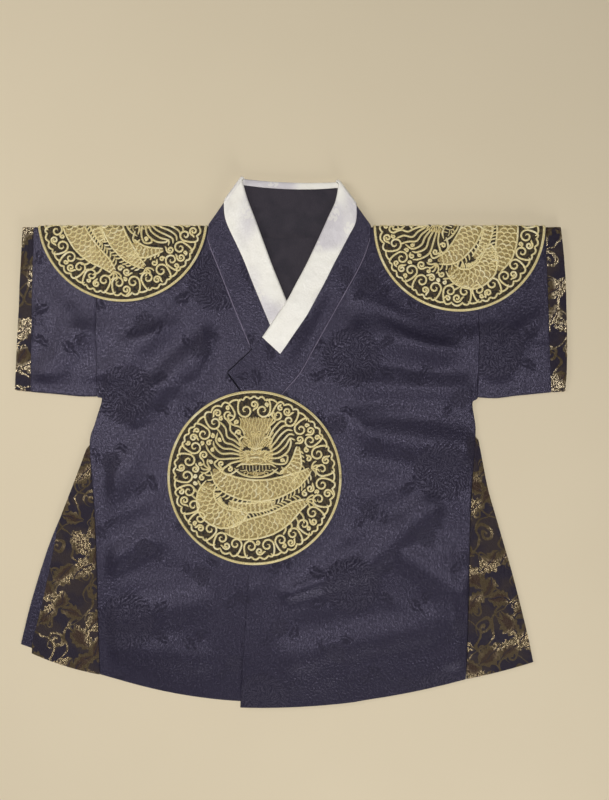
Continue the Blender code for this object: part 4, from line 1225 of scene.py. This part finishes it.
def addPipings():
    # pale cords in both collar seams, and a near-black one round the squared end of the left front's collar,
    # a painted shadow line along that edge
    for name, side, first, last in (("pipingRight", collarRight, 1, 7), ("pipingLeft", collarLeft, 1, 10)):
        table = curveThrough(side["stations"][first:last + 1], (last - first) * 14 + 1)
        addPiping(name, table[:, 2:4], table[:, :2], pipingSizes["pale"], pipingThread)
    stations = np.array(collarLeft["stations"])
    innerEdge = curveThrough(stations[8:, :2], 40)
    across = innerEdge[-1] + (stations[-1, 2:4] - innerEdge[-1]) * np.linspace(0.04, 1.0, 40)[:, None]
    inwardAcross = across + (stations[-2, :2] - stations[-1, :2])
    inwardEdge = innerEdge + (stations[-1, 2:4] - stations[-1, :2])
    addPiping("edgeShadowPiping", np.concatenate([innerEdge, across]), np.concatenate([inwardEdge, inwardAcross]),
              pipingSizes["dark"], shadowLineThread)


addPipings()
print("scene: collar and strip made")


# Embroidered roundels. The drawing is in shares of the roundel's radius, y up, head above the middle.

# Heights and widths of the gold work over the patch's middle, in millimetres
goldWork = {"ground": 0.35, "sunk": 0.28, "wall": 0.6, "cordWidth": 1.8, "cordTop": 1.2, "scaleTop": 1.35,
            "padTop": 0.75, "darkTop": 1.15, "eyeTop": 1.55, "pressed": 0.26}
faceX = 0.02                                     # the head's middle line
spiralWind = 0.84                                # how much of its radius a spiral loses


def resample(points, count):
    # the same line read at even steps of its length
    run = lengthAlong(points)
    at = np.linspace(0.0, run[-1], count)
    return np.column_stack([np.interp(at, run, points[:, 0]), np.interp(at, run, points[:, 1])])


def spiralFrom(x, y, radius, start, turns, hand):
    # an Archimedean spiral wound inward from its rim to a sixth of its radius
    t = np.linspace(0.0, 1.0, 48)
    angle = math.radians(start) + hand * 2 * math.pi * turns * t
    reach = radius * (1.0 - spiralWind * t)
    return np.column_stack([x + reach * np.cos(angle), y + reach * np.sin(angle)])


def curl(x, y, radius, start, turns, hand, tail):
    # a spiral with a tail that leaves its rim along the tangent and bends the other way
    wound = spiralFrom(x, y, radius, start, turns, hand)
    out = math.radians(start)
    away = np.array([math.cos(out), math.sin(out)])
    back = -hand * np.array([-math.sin(out), math.cos(out)])
    u = np.linspace(1.0, 0.0, 12)[:-1, None]
    lead = wound[0] + (back * u + away * 0.55 * u ** 2) * tail
    return resample(np.concatenate([lead, wound]), 30)


def cloudHead(angle, half, low, high, lobes, spin):
    # a lobed cap that follows the rim, each end wound into a spiral under it
    u = np.linspace(-1.0, 1.0, 40)
    wave = np.abs(np.sin(lobes * math.pi * (u + 1.0) / 2)) ** 0.8
    reach = low + (high - low) * (1.0 - u ** 6) * 0.8 + 0.036 * wave
    across = half * u
    size = low * half * spin
    t = np.linspace(0.0, 1.0, 30)
    turn = -2 * math.pi * 1.25 * t
    wound = size * (1.0 - spiralWind * t)
    sideways = low * half - size + wound * np.cos(turn)
    inward = low - 0.012 + wound * np.sin(turn)
    polarAcross = np.concatenate([-(sideways / low)[::-1], across[1:-1], sideways / low])
    polarReach = np.concatenate([inward[::-1], reach[1:-1], inward])
    around = math.radians(angle) - polarAcross
    return resample(np.column_stack([polarReach * np.cos(around), polarReach * np.sin(around)]), 60)


def cloudBridges(clouds):
    # a half-ellipse scallop over each gap between two neighbouring cloud heads, along the rim
    angles = np.sort([cloud[0] % 360 for cloud in clouds])
    gaps = np.radians((angles + np.append(angles[1:], angles[0] + 360)) / 2)
    u = np.linspace(-1.0, 1.0, 16)
    reach = 0.880 + 0.038 * np.sqrt(1.0 - 0.98 * u ** 2)
    around = gaps[:, None] + math.radians(4.2) * u
    return np.stack([reach * np.cos(around), reach * np.sin(around)], axis=-1)


def bodyFrame(points, count):
    # centre points, directions and sideways vectors of a body that follows a curve
    centre = resample(curveThrough(points, 120), count)
    ahead = unit(np.gradient(centre, axis=0))
    return centre, ahead, np.column_stack([-ahead[:, 1], ahead[:, 0]])


# the rows of scales along a body: their spacing, the scale's size, its places across in turn
scaleWork = {"step": 0.043, "size": 0.40, "odd": (-0.68, 0.0, 0.68), "even": (-0.34, 0.34)}


def scaledBody(spec):
    # pad, edge cords, U-shaped scales in alternating rows and a comb of flame fins down one side
    length = lengthAlong(curveThrough(spec["line"], 120))[-1]
    rows = int(length / scaleWork["step"])
    centre, ahead, side = bodyFrame(spec["line"], rows)
    half = np.interp(np.linspace(0, 1, rows), np.linspace(0, 1, len(spec["half"])), spec["half"])
    edges = [resample(centre + side * (half * way)[:, None], 48) for way in (1.0, -1.0)]
    turn = np.linspace(-0.5 * math.pi, 0.5 * math.pi, 8)
    scales = []
    for row in range(1, rows - 1):
        arc = np.cos(turn)[:, None] * ahead[row] * 0.95 + np.sin(turn)[:, None] * side[row]
        for place in scaleWork["odd" if row % 2 else "even"]:
            scales.append(centre[row] + side[row] * half[row] * place + arc * half[row] * scaleWork["size"])
    fins = []
    for row in range(1, rows - 1):
        foot = centre[row] + side[row] * half[row] * spec["finSide"]
        out = side[row] * spec["finSide"]
        t = np.linspace(0.0, 1.0, 8)[:, None]
        sway = 0.5 * spec["fin"] * (1.0 + 0.3 * math.sin(row * 2.1))
        fins.append(foot + out * spec["fin"] * t * (1.2 - 0.35 * t) - ahead[row] * sway * t ** 1.6)
    return {"pad": (resample(centre, 40), np.interp(np.linspace(0, 1, 40), np.linspace(0, 1, rows), half)),
            "edges": edges, "scales": scales, "fins": fins if spec["fin"] else []}


dragon = {
    "bodies": [
        {"line": [(-0.30, -0.29), (-0.14, -0.34), (0.04, -0.335), (0.24, -0.30)],
         "half": [0.03, 0.05, 0.055, 0.03], "fin": 0.0, "finSide": 1.0},
        {"line": [(-0.50, -0.06), (-0.56, -0.20), (-0.52, -0.36), (-0.38, -0.46), (-0.20, -0.45),
                  (-0.08, -0.36)],
         "half": [0.06, 0.10, 0.125, 0.12, 0.09, 0.03], "fin": 0.08, "finSide": 1.0},
        {"line": [(-0.34, -0.61), (-0.22, -0.61), (0.0, -0.58), (0.20, -0.52), (0.37, -0.42), (0.48, -0.33),
                  (0.60, -0.27)],
         "half": [0.02, 0.10, 0.12, 0.12, 0.105, 0.075, 0.03], "fin": 0.09, "finSide": 1.0},
        {"line": [(-0.47, 0.10), (-0.36, -0.04), (-0.12, -0.13), (0.14, -0.14), (0.38, -0.07), (0.56, 0.03),
                  (0.64, 0.10)],
         "half": [0.04, 0.10, 0.118, 0.12, 0.11, 0.085, 0.02], "fin": 0.075, "finSide": -1.0},
        {"line": [(0.36, 0.0), (0.47, 0.14), (0.50, 0.36)],
         "half": [0.09, 0.065, 0.012], "fin": 0.05, "finSide": -1.0},
    ],
    "paws": [
        {"wrist": (0.65, 0.11), "reach": 0.13, "angles": (66, 30, -6, -42)},
        {"wrist": (-0.50, 0.10), "reach": 0.15, "angles": (120, 152, 184, 216)},
        {"wrist": (0.59, -0.26), "reach": 0.15, "angles": (44, 12, -22, -56)},
    ],
    "clouds": [
        (90, 13.5, 0.79, 0.925, 5, 0.46), (64, 10.5, 0.78, 0.925, 3, 0.47),
        (40, 12.0, 0.78, 0.925, 4, 0.46), (14, 12.5, 0.79, 0.925, 4, 0.46),
        (-12, 12.0, 0.79, 0.925, 3, 0.46), (-37, 11.5, 0.79, 0.925, 4, 0.46),
        (-61, 11.0, 0.79, 0.925, 3, 0.47), (-86, 12.5, 0.80, 0.925, 4, 0.44),
        (-112, 11.5, 0.80, 0.925, 3, 0.45), (-137, 12.0, 0.79, 0.925, 4, 0.46),
        (-162, 12.0, 0.78, 0.925, 3, 0.46), (172, 12.0, 0.79, 0.925, 4, 0.46),
        (146, 12.5, 0.78, 0.925, 4, 0.46), (119, 12.5, 0.79, 0.925, 3, 0.46),
    ],
    "strands": [
        [(-0.13, 0.20), (-0.26, 0.17), (-0.38, 0.10), (-0.46, 0.16), (-0.40, 0.22)],
        [(-0.14, 0.23), (-0.28, 0.22), (-0.42, 0.22), (-0.52, 0.30), (-0.56, 0.38)],
        [(-0.14, 0.26), (-0.26, 0.28), (-0.38, 0.28), (-0.46, 0.36), (-0.47, 0.42)],
        [(-0.15, 0.29), (-0.26, 0.33), (-0.36, 0.34), (-0.44, 0.42), (-0.42, 0.52)],
        [(-0.15, 0.32), (-0.25, 0.38), (-0.34, 0.41), (-0.38, 0.50), (-0.44, 0.58)],
        [(-0.15, 0.36), (-0.23, 0.43), (-0.31, 0.47), (-0.33, 0.57), (-0.39, 0.64)],
        [(-0.15, 0.40), (-0.21, 0.48), (-0.27, 0.54), (-0.28, 0.62), (-0.34, 0.70)],
        [(0.15, 0.20), (0.26, 0.16), (0.36, 0.17), (0.38, 0.25), (0.32, 0.26)],
        [(0.15, 0.23), (0.28, 0.23), (0.38, 0.30), (0.42, 0.40), (0.40, 0.46)],
        [(0.16, 0.26), (0.27, 0.29), (0.36, 0.37), (0.41, 0.45), (0.47, 0.43)],
        [(0.16, 0.29), (0.26, 0.35), (0.34, 0.44), (0.40, 0.50), (0.46, 0.49)],
        [(0.17, 0.33), (0.24, 0.41), (0.31, 0.50), (0.38, 0.55), (0.44, 0.54)],
        [(0.17, 0.37), (0.22, 0.47), (0.29, 0.56), (0.35, 0.60), (0.41, 0.59)],
        [(0.16, 0.42), (0.20, 0.53), (0.26, 0.61), (0.31, 0.65), (0.36, 0.64)],
        [(-0.18, 0.10), (-0.28, 0.04), (-0.36, 0.07), (-0.34, 0.13)],
        [(0.20, 0.10), (0.29, 0.05), (0.34, 0.08), (0.31, 0.13)],
        [(-0.10, 0.50), (-0.16, 0.58), (-0.26, 0.62), (-0.30, 0.72), (-0.22, 0.70)],
        [(0.13, 0.51), (0.18, 0.60), (0.24, 0.66), (0.22, 0.75), (0.16, 0.70)],
        [(-0.07, 0.45), (-0.13, 0.47), (-0.17, 0.43), (-0.15, 0.38)],
        [(0.10, 0.45), (0.16, 0.47), (0.20, 0.43), (0.18, 0.38)],
        [(-0.16, 0.34), (-0.10, 0.335), (-0.05, 0.35), (0.02, 0.33), (0.08, 0.35), (0.14, 0.335),
         (0.19, 0.34)],
        [(-0.10, 0.17), (-0.06, 0.22), (0.02, 0.235), (0.10, 0.22), (0.14, 0.17)],
        [(-0.21, 0.12), (-0.14, 0.16), (-0.05, 0.155), (0.02, 0.17), (0.09, 0.155), (0.18, 0.16),
         (0.25, 0.12)],
        [(-0.23, 0.11), (-0.16, 0.05), (-0.06, 0.015), (0.02, 0.01), (0.10, 0.015), (0.20, 0.05),
         (0.27, 0.11)],
        [(-0.56, -0.14), (-0.61, -0.10), (-0.65, -0.03)],
        [(-0.60, -0.19), (-0.66, -0.16), (-0.71, -0.10)],
        [(-0.61, -0.25), (-0.67, -0.24), (-0.73, -0.19)],
        [(0.34, -0.52), (0.36, -0.59), (0.33, -0.65)],
        [(0.40, -0.48), (0.43, -0.55), (0.41, -0.62)],
        [(0.46, -0.43), (0.50, -0.50), (0.49, -0.58)],
        [(0.51, -0.38), (0.56, -0.44), (0.57, -0.52)],
        [(-0.05, 0.30), (-0.02, 0.27), (0.02, 0.285), (0.06, 0.27), (0.09, 0.30)],
        [(-0.12, 0.30), (-0.08, 0.26), (-0.09, 0.20)],
        [(0.16, 0.30), (0.12, 0.26), (0.13, 0.20)],
    ],
    "faceCurls": [
        (-0.035, 0.205, 0.030, 270, 1.2, -1, 0.03), (0.075, 0.205, 0.030, 270, 1.2, 1, 0.03),
        (-0.10, 0.055, 0.036, 120, 1.3, -1, 0.04), (0.02, 0.045, 0.036, 90, 1.3, 1, 0.04),
        (0.14, 0.055, 0.036, 60, 1.3, 1, 0.04),
        (-0.075, 0.415, 0.030, 300, 1.2, 1, 0.02), (0.115, 0.415, 0.030, 240, 1.2, -1, 0.02),
        (-0.02, 0.51, 0.032, 320, 1.3, 1, 0.03), (0.06, 0.51, 0.032, 220, 1.3, -1, 0.03),
    ],
}


def wayAt(angle):
    # the direction at an angle, and the one a quarter turn to its left
    return np.array([math.cos(angle), math.sin(angle)]), np.array([-math.sin(angle), math.cos(angle)])


def headWork():
    # crown strands between the horns, teeth, brow rays and beard as bundles of short cords
    t = np.linspace(0.0, 1.0, 12)[:, None]
    crown, teeth, rays = [], [], []
    for x in np.linspace(-0.13, 0.17, 11):
        tip = faceX + (x - faceX) * 1.25
        sway = 0.010 * np.sin(t * 9.0 + x * 40.0)
        crown.append(np.column_stack([x + (tip - x) * t + sway, 0.53 + 0.17 * t]))
    for x in np.linspace(-0.13, 0.17, 9):
        teeth.append(np.column_stack([x + 0.004 * t, 0.148 - (0.085 - 1.6 * (x - faceX) ** 2) * t]))
    for x in np.linspace(-0.12, 0.16, 9):
        rays.append(np.column_stack([faceX + (x - faceX) * (0.35 + 0.65 * t), 0.275 + 0.05 * t ** 0.5]))
    for x in np.linspace(-0.14, 0.18, 9):
        rays.append(np.column_stack([x + (x - faceX) * 0.25 * t, 0.47 + 0.055 * t]))
    return crown, teeth, rays


def furWork():
    # wavy hairs that radiate from the nose over cheeks and brow, left out over mouth and eyes
    t = np.linspace(0.0, 1.0, 12)[:, None]
    hairs = []
    for number, angle in enumerate(np.radians(np.linspace(-12.0, 192.0, 30))):
        ahead, side = wayAt(angle)
        reach = 0.185 + 0.075 * abs(math.sin(angle))
        start = 0.075 + 0.02 * (number % 2)
        wave = 0.009 * np.sin(t * 8.0 + number)
        hairs.append(np.array([faceX, 0.235]) + ahead * (start + (reach - start) * t) + side * wave)
    return hairs


fillers = {"field": 0.86, "clear": 0.022, "largest": 0.062, "smallest": 0.018, "tight": 0.035}


def fillCurls(lines, pads, count):
    # spirals in the gaps: each at the point farthest from all work so far, as large as fits there
    taken = [line[::2] for line in lines]
    for centre, half in pads:
        side = unit(np.gradient(centre, axis=0))[:, ::-1] * (-1.0, 1.0)
        taken += [centre + side * (half * share)[:, None] for share in (-0.9, -0.45, 0.0, 0.45, 0.9)]
    taken = np.concatenate(taken)
    places = np.linspace(-0.9, 0.9, 91)
    grid = np.stack(np.meshgrid(places, places), axis=-1).reshape(-1, 2)
    grid = grid[np.hypot(grid[:, 0], grid[:, 1]) < fillers["field"]]
    away = np.full(len(grid), 9.0)
    for part in np.array_split(taken, 60):
        away = np.minimum(away, np.linalg.norm(grid[:, None] - part[None], axis=-1).min(axis=1))
    curls = []
    for number in range(count):
        at = int(np.argmax(away))
        reach = min(away[at] - fillers["clear"], fillers["largest"])
        if reach < fillers["smallest"]:
            break
        centre = grid[at]
        near = taken[np.argmin(np.linalg.norm(taken - centre, axis=1))] - centre
        hand = 1 if number % 2 else -1
        start = math.degrees(math.atan2(near[1], near[0])) - hand * 290
        turns = 1.45 if reach > fillers["tight"] else 1.15
        line = curl(centre[0], centre[1], reach, start, turns, hand, reach * 0.8)
        curls.append(line)
        taken = np.concatenate([taken, line])
        away = np.minimum(away, np.linalg.norm(grid[:, None] - line[None], axis=-1).min(axis=1))
    return curls


def pawWork(paw):
    # toes that leave the wrist and hook over at their claws
    wrist = np.array(paw["wrist"])
    toes = []
    for number, angle in enumerate(paw["angles"]):
        ahead, side = wayAt(math.radians(angle))
        t = np.linspace(0.0, 1.0, 12)[:, None]
        hook = -0.42 if number % 2 else -0.30
        toes.append(wrist + paw["reach"] * (ahead * (t - 0.25 * t ** 3) + side * hook * (t ** 3 - 0.3 * t)))
    return toes


def sweepCords(lines, width, top, base, sides, place, size):
    # cords of one sample count: a flattened half circle carried along each line, tapered and capped
    radius, turn = size
    lines = np.asarray(lines) @ np.array(wayAt(turn)) * radius
    strokes, samples = lines.shape[:2]
    ahead = unit(np.gradient(lines, axis=1))
    side = np.stack([-ahead[..., 1], ahead[..., 0]], axis=-1)
    ends = np.linspace(0.0, 1.0, samples)
    taper = np.sqrt(np.clip(np.minimum(ends, 1.0 - ends) * samples / 2.5 + 0.12, 0.0, 1.0))
    half = np.broadcast_to(np.asarray(width) / 2, (strokes, samples)) * taper
    angle = np.linspace(0.0, math.pi, sides)
    plan = lines[:, :, None] + side[:, :, None] * (half[..., None] * np.cos(angle))[..., None]
    rise = base + (top - base) * (taper[None, :, None] * np.sin(angle)) * np.ones((strokes, 1, 1))
    points = place(plan[..., 0], plan[..., 1], rise).reshape(-1, 3)
    ring = np.arange(strokes * samples * sides).reshape(strokes, samples, sides)
    after = np.roll(ring, -1, axis=2)
    quads = np.stack([ring[:, :-1], after[:, :-1], after[:, 1:], ring[:, 1:]], axis=-1).reshape(-1, 4)
    caps = np.concatenate([ring[:, 0, ::-1], ring[:, -1]])
    steps = np.linalg.norm(np.diff(lines, axis=1), axis=-1)
    run = np.concatenate([np.zeros((strokes, 1)), np.cumsum(steps, axis=1)], axis=1)
    start = np.arange(strokes)[:, None] * 3.7
    uv = np.stack(np.broadcast_arrays((run + start)[..., None], half[..., None] * np.cos(angle)), axis=-1)
    return points, quads.tolist() + caps.tolist(), uv.reshape(-1, 2) * mm


def joinParts(parts):
    # several swept sets as one list of points in metres, of faces and of UV
    points, faces, uvs, count = [], [], [], 0
    for part, partFaces, uv in parts:
        faces.extend([[k + count for k in face] for face in partFaces])
        points.append(part)
        uvs.append(uv)
        count += len(part)
    return np.concatenate(points) * mm, faces, np.concatenate(uvs)


def frontPlace(x, y, rise):
    # the front roundel lies on the lap
    px, py = x + frontPatch["x"], y + frontPatch["y"]
    return np.stack([px, py, frontPatchZ(px, py) + rise], axis=-1)


def shoulderPlace(patch):
    # a shoulder roundel folds over the shoulder; its raised work is pressed flat where it lies underneath
    halfArc, centreZ = patchTurn * math.pi / 2, (patchFrontZ + patchBackZ) / 2

    def place(x, y, rise):
        pastFold = -y - patch["behind"]
        angle = np.clip(pastFold / patchTurn, -math.pi / 2, math.pi / 2)
        flat = np.maximum(np.abs(pastFold) - halfArc, 0.0)
        pressed = goldWork["pressed"] + (1.0 - goldWork["pressed"]) * smooth((np.sin(angle) + 0.2) / 0.6)
        above = np.maximum(rise - goldWork["ground"], 0.0)
        lift = np.minimum(rise, goldWork["ground"]) + above * pressed
        py = shoulderY + patchTurn * np.cos(angle) - flat + lift * np.cos(angle)
        pz = centreZ + patchTurn * np.sin(angle) + lift * np.sin(angle)
        return np.stack(np.broadcast_arrays(x + patch["x"], py, pz), axis=-1)

    return place


def discGrid(radius, foldAt):
    # rows at even spacing, closer at both ends and round the fold, with cosine-spaced columns out to the rim
    rows = np.linspace(-1.0, 1.0, 61) * radius
    ends = radius * np.cos(np.linspace(0.02, 0.3, 9))
    fold = foldAt + np.radians(np.linspace(-90, 90, 13)) * patchTurn if foldAt is not None else np.zeros(0)
    y = np.concatenate([rows[1:-1], ends, -ends])
    if len(fold):
        y = y[np.abs(y - foldAt) > patchTurn * math.pi / 2 + 0.4]
    y = np.unique(np.concatenate([y, fold]).round(4))
    y = y[np.concatenate([[True], np.diff(y) > 0.02])]
    half = np.sqrt(np.maximum(radius ** 2 - y ** 2, 0.0))
    share = np.sin(np.linspace(-0.5, 0.5, 61) * math.pi)
    return half[:, None] * share, np.repeat(y[:, None], len(share), 1)


def ellipseHalf(t, half):
    # half width of an ellipse at a share t of its length
    return half * np.sqrt(np.maximum(1.0 - (2 * t - 1) ** 2, 0.0))


def dragonDrawing():
    # every set of strokes with its width and top in millimetres, then the padded shapes and the dark ones
    bodies = [scaledBody(spec) for spec in dragon["bodies"]]
    crown, teeth, rays = headWork()
    clouds = [cloudHead(angle, math.radians(half), *rest) for angle, half, *rest in dragon["clouds"]]
    strands = [resample(curveThrough(line, 60), 24) for line in dragon["strands"]]
    face = [curl(*values) for values in dragon["faceCurls"]]
    edges = [edge for body in bodies for edge in body["edges"]]
    scales = [scale for body in bodies for scale in body["scales"]]
    fins = [fin for body in bodies for fin in body["fins"]]
    toes = [toe for paw in dragon["paws"] for toe in pawWork(paw)]
    t = np.linspace(0.0, 1.0, 40)
    pads = [body["pad"] for body in bodies]
    middleLine = np.full(40, faceX)
    pads.append((np.column_stack([middleLine, 0.02 + 0.52 * t]), ellipseHalf(t, 0.19) + 0.01))
    pads.append((np.column_stack([middleLine, 0.50 + 0.19 * t]), 0.15 + 0.045 * t))
    bridges = cloudBridges(dragon["clouds"])
    curls = fillCurls(clouds + list(bridges) + strands + edges + fins + toes + crown, pads, 70)
    mouthLine = np.column_stack([faceX + 0.4 * (t - 0.5), 0.105 + 0.02 * (2 * t - 1) ** 2])
    eyes = []
    for x in (-0.088, 0.128):
        lidLine = 0.335 - 0.25 * abs(x - faceX) * (2 * t - 1) ** 2
        eyes.append((np.column_stack([x + 0.095 * (t - 0.5), lidLine]), ellipseHalf(t, 0.026)))
    width, top = goldWork["cordWidth"], goldWork["cordTop"]
    strokes = [(clouds, width, top), (bridges, width, top), (curls, width, top), (strands, width, 1.35),
               (furWork(), 0.9, 1.25), (face, 1.0, 1.4), (edges, width, 1.2),
               (scales, 1.6, goldWork["scaleTop"]), (fins, 1.5, top), (toes, 1.6, 1.3),
               (crown + teeth + rays, 1.15, 1.45)]
    mouth = [(mouthLine, ellipseHalf(t, 0.048))]
    return strokes, [(pads, goldWork["padTop"])], [(mouth, goldWork["darkTop"]), (eyes, goldWork["eyeTop"])]


dragonStrokes, dragonPads, dragonDarks = dragonDrawing()
rimCords = ((0.50, 0.9, 1.0), (1.55, 1.5, 1.3))   # from the edge inwards: place, width, top


def addRoundel(name, node, radius, turn, place, foldAt):
    # the round cloth, its gold pads, its gold cords and the dark of eyes and mouth
    x, y = discGrid(radius, foldAt)
    middle = place(x, y, np.zeros(x.shape))
    above = place(x, y, np.full(x.shape, 0.01))
    uv = np.stack([x, y], axis=-1) * mm
    cloth = clothWall(name + "Cloth", middle, unit(above - middle), uv, patchGround, "embroidery",
                      {"outside": goldWork["ground"], "inside": goldWork["wall"]})
    base = goldWork["sunk"]
    around = np.linspace(0.0, 2 * math.pi * 1.003, 241)
    circle = np.column_stack([np.cos(around), np.sin(around)])
    rings = [([circle * (1.0 - inset / radius)], wide, top) for inset, wide, top in rimCords]
    size = (radius, turn)
    swept = [sweepCords(lines, wide, top, base, 5, place, size) for lines, wide, top in rings + dragonStrokes]
    for ending, sets, material in (("Pads", dragonPads, goldFill), ("Darks", dragonDarks, patchGround)):
        shapes = []
        for group, top in sets:
            lines, widths = [line for line, _ in group], np.array([half for _, half in group]) * 2 * radius
            shapes.append(sweepCords(lines, widths, top, base, 9, place, size))
        addPiece(name + ending, *joinParts(shapes), material, "embroidery")
    addPiece(name + "Cords", *joinParts(swept), goldCord, "embroidery")
    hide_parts(node)


addRoundel("frontRoundel", "medallion_front", frontPatch["radius"], 0.0, frontPlace, None)
for wearerSide, turned, under in (("right", -75.0, "frontRightCloth"), ("left", 70.0, "frontLeftCloth")):
    ownPatch = shoulderPatches["medallion_" + wearerSide]
    addRoundel(wearerSide + "ShoulderRoundel", "medallion_" + wearerSide, ownPatch["radius"],
               math.radians(turned), shoulderPlace(ownPatch), -ownPatch["behind"])
print("scene: roundels embroidered")
